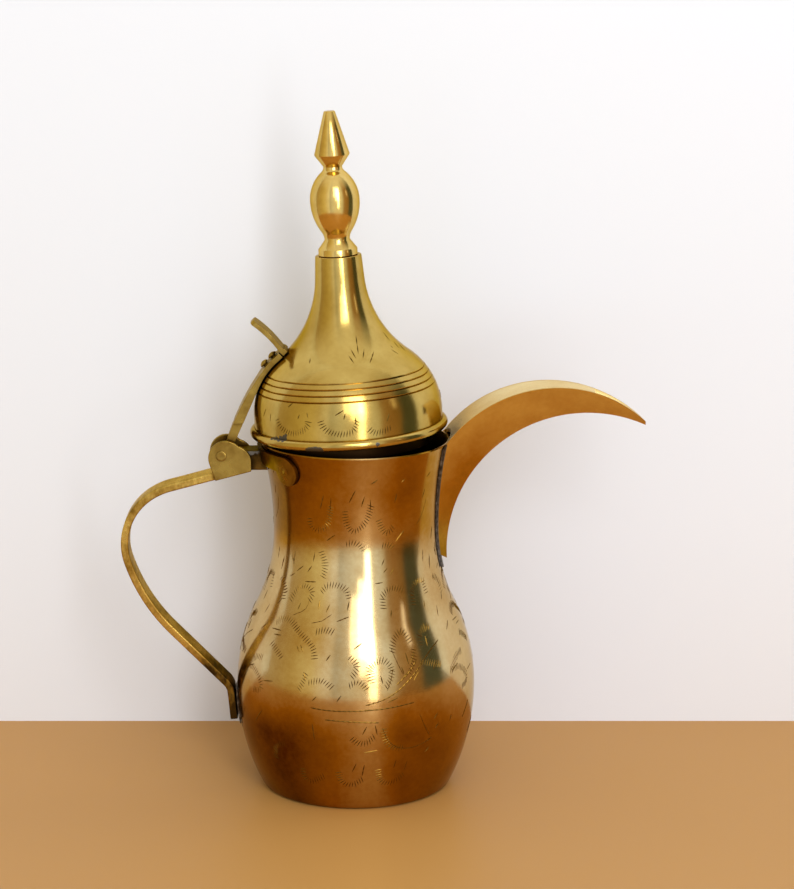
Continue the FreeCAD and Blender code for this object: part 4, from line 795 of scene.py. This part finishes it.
def make_finial():
    foot, waist, bulb, neck, cone, tip = FINIAL
    lower = arc_radius(bulb[0] - waist[0], bulb[1] - waist[1])
    upper = arc_radius(bulb[0] - neck[0], neck[1] - bulb[1])

    def towards_bulb(low, share):
        return low[0] + (bulb[0] - low[0]) * share, low[1] + (bulb[1] - low[1]) * share

    bm = lathe(
        96, (0, -TENON_LENGTH), (TENON_RADIUS, -TENON_LENGTH), (TENON_RADIUS, 0), (foot[0] - 0.3, 0),
        (foot[0], 0.3), (foot[0], foot[1] - 0.3), (foot[0] - 0.25, foot[1]), waist,
        towards_bulb(waist, WAIST_SHARE) + (waist[0] + WAIST_SHARE * lower, waist[1]),
        bulb + (bulb[0] - (1 - WAIST_SHARE) * lower, bulb[1]),
        towards_bulb(neck, NECK_SHARE) + (bulb[0] - (1 - NECK_SHARE) * upper, bulb[1]),
        neck + (neck[0] + NECK_SHARE * upper, neck[1]),
        (cone[0] - 0.2, cone[1] - 0.28), (cone[0] - 0.05, cone[1] + 0.17),
        (tip[0] + 0.1, tip[1] - 0.4), (tip[0] - 0.3, tip[1]), (0, tip[1]), edge=0.7)
    piece("finial_turned", bm, "lid", "lid_brass", finial_lightened_brass, "finial",
          place=LID_PLACE @ Matrix.Translation((0, 0, LID_HEIGHT + FIT)), sharp=40)


# Chasing


# Hand-cut pattern. Each entry is a run of points, as angle from the front towards the spout in degrees and
# height in mm. A comb is a row of short cuts along a curve, a stroke one longer cut, a line a thin run of
# cuts and a stem a bolder one.
BODY_COMBS = [
    (-7, 128, -6.5, 122.8, -2, 118.6, 4, 121, 8.5, 124.7, 10.5, 131),
    (-33, 123.7, -32, 120.2, -27, 118.8, -22, 120, -18, 122.4, -16.5, 130),
    (16, 123.9, 18, 120.2, 21, 117.8, 25, 118.9, 27, 120.9), (-6, 113.9, -2, 114.8, 3, 113.9, 6, 110.9),
    (19, 112.8, 24, 113.1, 27, 111.4), (-24, 110, -21, 106, -21, 102.6, -22, 99.5),
    (-44, 88.3, -42, 92.6, -36, 95.3, -30, 94.6, -28, 92.3, -30, 89.4),
    (-22, 93.6, -20, 96.1, -14, 97, -6, 95.8, -4, 91), (-58, 95.5, -53, 94.2, -50, 90.8),
    (17, 91.8, 20, 94.4, 27, 94.9, 33, 93.1), (38, 90.9, 40, 94.3, 45, 95.9, 51, 95.4),
    (-36, 78.5, -28, 75.1, -22, 71.7, -21, 66.4), (-25, 61.1, -26, 57.7, -28, 54.1),
    (-23, 57.7, -20, 58.7, -16, 59.2, -11, 56.2), (-22, 77.9, -17, 79.2, -12, 78.2),
    (-3, 68.7, 0, 67.1, 1, 64.8, -2, 60.6), (-3, 57.5, 0, 59.1, 3, 58.3, 6, 55.3),
    (8, 58.6, 7, 63.4, 9, 66.5, 13, 67.7, 17, 65.7, 18, 62.4),
    (19, 70.3, 20, 74.5, 25, 78.6, 28, 76.5, 30, 73.1), (36, 71.3, 36, 75.6, 41, 77.8, 45, 77.5),
    (34, 64.7, 39, 63.7, 47, 61.8), (-28, 18.8, -28, 13.9, -23, 12.7, -16, 17.2),
    (-9, 18.8, -8, 13.8, -2, 12.4, 3, 15.6), (11, 19.9, 12, 14.4, 17, 12.7, 22, 14, 25, 17.1),
    (-2, 34.7, 1, 32.5, 5, 32.4, 9, 35.8), (-44, 21.5, -44, 25.4, -40, 28.5, -36, 29.3),
    (-50, 78.7, -47, 80.9, -40, 81, -34, 78), (31, 70, 30, 65, 27, 61),
    (53, 57.6, 60, 58.6, 67, 54.9, 69, 50.2, 62, 49), (-66, 58.2, -60, 63, -53, 63.7),
    (7, 65.4, 6, 62.6, 7, 59.2), (18, 62.9, 17, 59.1, 14, 55.9), (38, 87, 38, 91), (50, 95, 51, 90.2),
    (-51, 88, -52, 93, -57, 95.9), (17, 87.2, 17, 91.9), (-49, 70.4, -44, 68.1, -40, 65.5),
    (13, 38.5, 14, 32.5, 18, 29.4, 23, 29.4),
]
BODY_STROKES = [
    (0, 137.3, -4, 132), (10, 133.1, 10, 128.3), (6, 134.6, 4, 130.2), (-16, 133.9, -17, 127.7),
    (-21, 134.9, -24, 128.6), (28, 134.8, 27, 130.9), (14, 141.8, 10, 140), (33, 141, 31, 139.7),
    (53, 134.4, 51, 130.8), (56, 141.5, 53, 139.7), (-14, 117.8, -20, 115), (35, 118.2, 29, 114.1),
    (-46, 108.5, -47, 102.9), (-38, 103, -43, 100.4), (-31, 103.6, -34, 100.8), (-45, 99.2, -49, 97.5),
    (-37, 85.1, -36, 88), (-35, 96.8, -27, 97.3), (-18, 85.5, -16, 89.1), (-23, 86.4, -23, 90.3),
    (-4, 90.6, -5, 86.7), (-55, 85.2, -52, 88), (18, 104.4, 20, 107.2), (24, 100.2, 27, 103),
    (19, 101.4, 22, 103.3), (21, 83.3, 22, 86.3), (-52, 76, -45, 76.1), (-49, 74, -44, 74.3),
    (-32, 71.6, -30, 69.4), (-30, 72.2, -28, 69.7), (-26, 61.4, -25, 58.7), (-21, 50.3, -19, 52.2),
    (-9, 50.7, -7, 53.3), (-15, 67.1, -13, 69.6), (12, 61.2, 13, 57.9), (26, 69.3, 27, 64.7),
    (31, 69.2, 28, 64.6), (23, 63.9, 24, 61), (15, 50, 20, 51.5), (4, 47.2, 9, 47.2), (23, 59.1, 26, 61.6),
    (29, 57.9, 32, 60.9), (40, 74.2, 40, 70.4), (54, 57.4, 60, 59.5), (-57, 35.1, -51, 41.2),
    (-21, 40.4, -20, 33.3), (-2, 19.3, 0, 23.2), (4, 22.6, 3, 17.3), (19, 20.2, 20, 23.9),
    (26, 22.7, 25, 18.5), (3, 36.5, 5, 40), (9, 40.3, 10, 36.2), (4, 28.3, 10, 29.1), (40, 39.5, 42, 41.9),
    (41, 35.2, 43, 37.3), (51, 36.2, 52, 39), (36, 30.2, 39, 31.6), (36, 25.2, 38, 27.2),
    (18, 97.5, 13, 97.2), (-1, 72, 3, 74.3), (-49, 106.5, -46, 102.8), (-29, 109.5, -30, 105.4),
    (-11, 82.4, -4, 84.4), (-50, 54.5, -44, 55.4), (-58, 104, -60, 99), (-66, 108, -67, 103),
    (62, 105, 60, 100.5), (68, 116, 66, 111), (57, 84, 55, 80), (-62, 74, -58, 77), (45, 64, 41, 60.5),
    (47, 88, 46, 84),
]
BODY_STEMS = [
    (6, 49.5, 12, 50.8, 17, 52.6, 24, 56.5, 31, 61.5, 39, 67.6, 49, 71.8), (21, 57.7, 27, 61.5, 31, 65.3),
    (-20, 47.2, -13, 46.7, -5, 46.7, 6, 47, 17, 47.6, 27, 48.5), (-13, 42.6, -1, 42.2, 10, 41.6),
]
BODY_LINES = [
    (-30, 89.4, -31, 86.8, -33, 85.1, -39, 83), (-16, 84.2, -20, 82.1, -27, 80.8),
    (18, 62.4, 17, 58.8, 15, 55), (19, 70.3, 21, 65.7, 23, 61.9),
    (13, 37.6, 15, 33.1, 20, 29.5, 26, 28.5, 32, 29.1, 37, 30.6), (32, 41.8, 34, 37.9, 37, 33.5),
    (55, 128.4, 53, 123.9, 47, 119.6),
]
LID_COMBS = [
    (-47, 10, -45, 7.3, -40, 5.4, -34, 4.8, -26, 6.9, -24, 9.1, -24, 11),
    (-16, 10.4, -15, 8.2, -12, 6.1, -4, 4.7, 3, 5.4, 5, 7.7, 6, 10.4),
    (13, 5.9, 16, 4.2, 21, 4.4, 27, 5.9),
]
LID_STROKES = [
    (-31, 11.2, -30, 13), (-24, 11.8, -25, 14), (-39, 15.6, -36, 17.2), (-2, 11, -1, 13.2),
    (5, 8.9, 5, 11.5), (-7, 12.8, -2, 14.6), (-62, 10, -60, 13.1), (-54, 8.9, -54, 11.8),
    (5, 34.4, 9, 31.5), (8, 36.8, 12, 32.9), (18, 41.8, 15, 34.1), (23, 36.2, 18, 32.7),
    (32, 34.6, 23, 31.1), (66, 41.1, 67, 36.3), (73, 36, 71, 33.4), (81, 34.6, 76, 31.5),
    (60, 35.2, 61, 34.4), (56, 34, 60, 31.9), (-35, 33.5, -33, 31.8), (24, 8.5, 26, 11.5),
]


def lid_radius_at(z):
    """Outer radius of the lid at a height above its bead."""
    if z < LID_SIDE:
        return LID_RADIUS
    if z < LID_SIDE + SHOULDER * sin(MEET):
        return DOME_X + sqrt(SHOULDER ** 2 - (z - LID_SIDE) ** 2)
    return SWEEP_X - sqrt(SWEEP ** 2 - (SWEEP_Z - z) ** 2)


class Chaser:
    """Cuts strokes into a turned skin. Each cut is a low ridge with its own facets and drawn-in ends."""

    # how far a cut's edges go under the skin, and the share of its width drawn in at each end
    root, drawn_in = 0.05, 0.3

    def __init__(self, radius_of, sunk):
        self.bm = bmesh.new()
        self.radius_of = radius_of
        self.sunk = sunk
        self.hand = random.Random(7)

    def skin(self, angle, height):
        turned = Matrix.Rotation(radians(angle), 3, "Z")
        return turned @ Vector((0, self.sunk - self.radius_of(height), height))

    def cut(self, start, end, width, depth):
        angle, height = (start[0] + end[0]) / 2, (start[1] + end[1]) / 2
        up = self.skin(angle, height + 0.2) - self.skin(angle, height - 0.2)
        out = (self.skin(angle + 0.2, height) - self.skin(angle - 0.2, height)).cross(up).normalized()
        along = self.skin(*end) - self.skin(*start)
        side = out.cross(along).normalized() * width
        place = Matrix((along, side, out)).transposed().to_4x4()
        place.translation = self.skin(angle, height) - out * self.root
        grid = ops.create_grid(self.bm, x_segments=2, y_segments=2, size=0.5, matrix=place)["verts"]
        for verts, shift in ((grid[3:6], out * (depth + self.root)), ((grid[3], grid[5]), -out * depth / 2),
                             ((grid[0], grid[2]), side * self.drawn_in),
                             ((grid[6], grid[8]), -side * self.drawn_in)):
            ops.translate(self.bm, vec=shift, verts=verts)

    def line(self, points, width=0.45, depth=0.1, step=2.2):
        """A thin run of overlapping cuts."""
        for point, way in self.spaced(points, step):
            reach = way * step * 0.65
            self.cut(self.moved(point, -reach), self.moved(point, reach), width, depth)

    def comb(self, points, length=2.9, width=0.52, depth=0.13, step=1.2):
        """Short cuts along a curve, each standing across it and leaning a little to the right."""
        for point, way in self.spaced(points, step):
            across = Vector((-way.y, way.x)) if way.x >= 0 else Vector((way.y, -way.x))
            lean = across + Vector((0.3, 0.1))
            reach = lean.normalized() * length * self.hand.uniform(0.4, 0.55)
            self.cut(self.moved(point, -reach), self.moved(point, reach), width, depth)

    def stroke(self, points, width=0.7, depth=0.13):
        """One longer cut, or two that overlap where it would leave the round skin."""
        angle, height, angle_end, height_end = points
        steps = 1 if hypot((angle_end - angle) * 0.7, height_end - height) < 5 else 2
        for n in range(steps):
            ends = [(angle + (angle_end - angle) * share, height + (height_end - height) * share)
                    for share in (max(0, n / steps - 0.1), min(1, (n + 1) / steps + 0.1))]
            self.cut(*ends, width, depth)

    def stem(self, points):
        """A bolder run of cuts."""
        self.line(points, width=0.8, depth=0.13)

    def moved(self, point, reach):
        """A point on the skin, moved by (along the turn, up) in millimetres."""
        turn_mm = radians(1) * self.radius_of(point[1])
        return point[0] + reach.x / turn_mm, point[1] + reach.y

    def spaced(self, points, step):
        """Evenly spaced points along a curve with rounded corners, and their headings in the skin."""
        points = list(zip(points[::2], points[1::2]))
        for _ in range(2):
            points = [points[0]] + [
                (a[0] + (b[0] - a[0]) * share, a[1] + (b[1] - a[1]) * share)
                for a, b in zip(points, points[1:]) for share in (0.25, 0.75)] + [points[-1]]
        left = 0.0
        for (a, z), (a_end, z_end) in zip(points, points[1:]):
            turn_mm = radians(1) * self.radius_of((z + z_end) / 2)
            way = Vector(((a_end - a) * turn_mm, z_end - z))
            length = way.length
            while left < length:
                share = left / length
                yield (a + (a_end - a) * share, z + (z_end - z) * share), way / length
                left += step
            left -= length


def chase(name, chaser, body, slot, metal, combs, strokes, lines, stems, copies, turned, place=None):
    """Cut one pattern, carry it on round the back in so many copies over turned degrees, and set it."""
    for work, rows in ((chaser.comb, combs), (chaser.stroke, strokes), (chaser.line, lines),
                       (chaser.stem, stems)):
        for points in rows:
            work(points)
    bm = chaser.bm
    ops.spin(bm, geom=bm.verts[:] + bm.edges[:] + bm.faces[:], cent=(0, 0, 0), axis=(0, 0, 1),
             angle=radians(turned), steps=copies, use_duplicate=True)
    piece(name, bm, body, slot, metal, place=place, sharp=5)


def make_chasing():
    chase("body_chasing", Chaser(radius_at, CHASING_ROOM), "pot", "body_brass", cut_brass,
          BODY_COMBS, BODY_STROKES, BODY_LINES, BODY_STEMS, copies=2, turned=240)
    chase("lid_chasing", Chaser(lid_radius_at, 0.0), "lid", "lid_brass", dark_cut_brass,
          LID_COMBS, LID_STROKES, [], [], copies=1, turned=150, place=LID_PLACE)


# Nodes that stay as solids


def dress_solids():
    for node, material in (
            ("base_solder_ring", solder), ("spout_solder_seam", solder), ("handle_foot_solder", solder),
            ("finial_washer", bar_brass), ("finial_nut", bar_brass)):
        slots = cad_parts[node].data.materials
        slots.clear()
        slots.append(material)


# Stage, light and camera


# Stage sizes in metres: the floor's radius, the backdrop's width and height, and how far behind it stands.
FLOOR_RADIUS, BACKDROP_WIDTH, BACKDROP_HEIGHT, BACKDROP_Y = 0.47, 3.6, 1.8, 0.0785
# Where the camera stands in metres, how it is tipped and turned, and its focal length in picture heights.
CAMERA_PLACE, CAMERA_PITCH, CAMERA_YAW = (0.0, -1.150, 0.405), radians(12.57), radians(0.885)
FOCAL_LENGTH, SENSOR_HEIGHT = 2780 / 889, 36.0


def plain(name, code, roughness):
    """An even matt finish for the stage."""
    material, tree, shader = start_material(name)
    plug(tree, shader, {"Base Color": linear(code), "Roughness": roughness, "Specular IOR Level": 0.2})
    return material


def stage_sheet(name, bm, material):
    obj = new_object(name, mesh_of(name, bm))
    obj.data.materials.append(material)


def make_stage():
    bm = bmesh.new()
    ops.create_circle(bm, cap_ends=True, segments=128, radius=FLOOR_RADIUS)
    stage_sheet("floor", bm, plain("pale_warm_floor", "#c09050", 0.45))
    wall = plain("white_backdrop", "#e9eef8", 0.9)
    # seen from behind the backdrop is clear, so that the pot can be looked at from every side
    tree = wall.node_tree
    clear = add(tree, "BsdfTransparent")["BSDF"]
    behind = add(tree, "NewGeometry")["Backfacing"]
    front = tree.nodes["Principled BSDF"].outputs["BSDF"]
    one_sided = add(tree, "MixShader", {0: behind, 1: front, 2: clear})["Shader"]
    plug(tree, tree.nodes["Material Output"], {"Surface": one_sided})
    bm = bmesh.new()
    ops.create_grid(bm, x_segments=1, y_segments=1, size=0.5)
    bm.transform(Matrix.Diagonal((BACKDROP_WIDTH, BACKDROP_HEIGHT, 1, 1)))
    bm.transform(Matrix.Translation((0, BACKDROP_Y, BACKDROP_HEIGHT / 2))
                 @ Matrix.Rotation(-CAMERA_YAW, 4, "Z") @ Matrix.Rotation(pi / 2, 4, "X"))
    stage_sheet("backdrop", bm, wall)


def lamp(name, place, aim, width, height, watts, mirrored=True):
    light = bpy.data.lights.new(name, "AREA")
    light.shape = "RECTANGLE"
    light.size = width
    light.size_y = height
    light.energy = watts
    obj = new_object(name, light)
    obj.location = place
    obj.rotation_euler = (Vector(aim) - Vector(place)).to_track_quat("-Z", "Y").to_euler()
    obj.visible_glossy = mirrored


# Soft room tones round the pot for its reflections: degrees from the front towards the spout, colour.
ROOM = [
    (-180, "#eceae8"), (-125, "#c2b8ae"), (-95, "#c4b290"), (-66, "#d8c68c"), (-45, "#f0e4b4"),
    (-36, "#f4ecd8"), (-31, "#ffffff"), (-26, "#fdfdff"), (-21, "#d4d8de"), (-13, "#eef2fa"),
    (-4, "#f8fbff"), (2, "#ffffff"), (24, "#ffffff"), (31, "#f2f6fc"), (38, "#e4e2da"),
    (43, "#b89a72"), (53, "#b08a5a"), (66, "#9a7a4c"), (71, "#5a5e50"), (88, "#565a48"),
    (96, "#9a958c"), (107, "#d2cfca"), (180, "#eceae8")]


def make_light():
    # a tall window, narrow at the bottom and wider above, as three overlapping soft boxes
    lamp("window_low", (0.44, -1.50, 0.475), (0.0, 0.0, 0.25), 0.22, 1.45, 4.3)
    lamp("window_middle", (0.30, -1.50, 0.80), (0.0, 0.0, 0.25), 0.48, 1.1, 4.7)
    lamp("window_high", (0.18, -1.50, 1.00), (0.0, 0.0, 0.25), 0.72, 0.9, 4.6)
    lamp("side_lamp", (1.33, -0.76, 0.80), (0.0, 0.0, 0.1), 0.11, 0.42, 0.17)
    lamp("high_fill", (0.5, -0.9, 1.6), (0, 0, 0.1), 1.2, 1.2, 4, mirrored=False)
    world = bpy.data.worlds.new("studio_room")
    world.use_nodes = True
    bpy.context.scene.world = world
    tree = world.node_tree
    way = add(tree, "TexCoord")["Generated"]
    parts = add(tree, "SeparateXYZ", {"Vector": way})
    front = add(tree, "Math", {0: parts["Y"], 1: -1.0}, operation="MULTIPLY")[0]
    azimuth = add(tree, "Math", {0: parts["X"], 1: front}, operation="ARCTAN2")[0]
    share = add(tree, "MapRange", {"Value": azimuth, "From Min": -pi, "From Max": pi})["Result"]
    room = add(tree, "ValToRGB", {"Fac": share}, stops=[
        ((angle + 180) / 360, linear(code)) for angle, code in ROOM])["Color"]
    high = add(tree, "MapRange", {"Value": parts["Z"], "From Min": 0.5, "From Max": 0.95})["Result"]
    rays = add(tree, "LightPath")
    # the metal mirrors a paler ceiling than the one that lights the floor; past the stage the view is plain
    ceiling = add(tree, "Mix", {0: rays["Is Glossy Ray"], 6: linear("#d0c8bc"), 7: linear("#fffcf4")},
                  data_type="RGBA")[2]
    for share, tone in ((high, ceiling), (rays["Is Camera Ray"], grey(0.9))):
        room = add(tree, "Mix", {0: share, 6: room, 7: tone}, data_type="RGBA")[2]
    plug(tree, tree.nodes["Background"], {"Color": room})


def make_camera():
    lens = bpy.data.cameras.new("camera")
    lens.sensor_fit = "VERTICAL"
    lens.sensor_height = SENSOR_HEIGHT
    lens.lens = FOCAL_LENGTH * SENSOR_HEIGHT
    obj = new_object("camera", lens)
    obj.location = CAMERA_PLACE
    obj.rotation_euler = (pi / 2 - CAMERA_PITCH, 0.0, -CAMERA_YAW)
    bpy.context.scene.camera = obj


make_body()
make_base()
make_spout()
make_handle()
make_hardware()
make_lid()
make_finial()
make_chasing()
dress_solids()
make_stage()
make_light()
make_camera()
bpy.context.scene.view_settings.view_transform = "Standard"
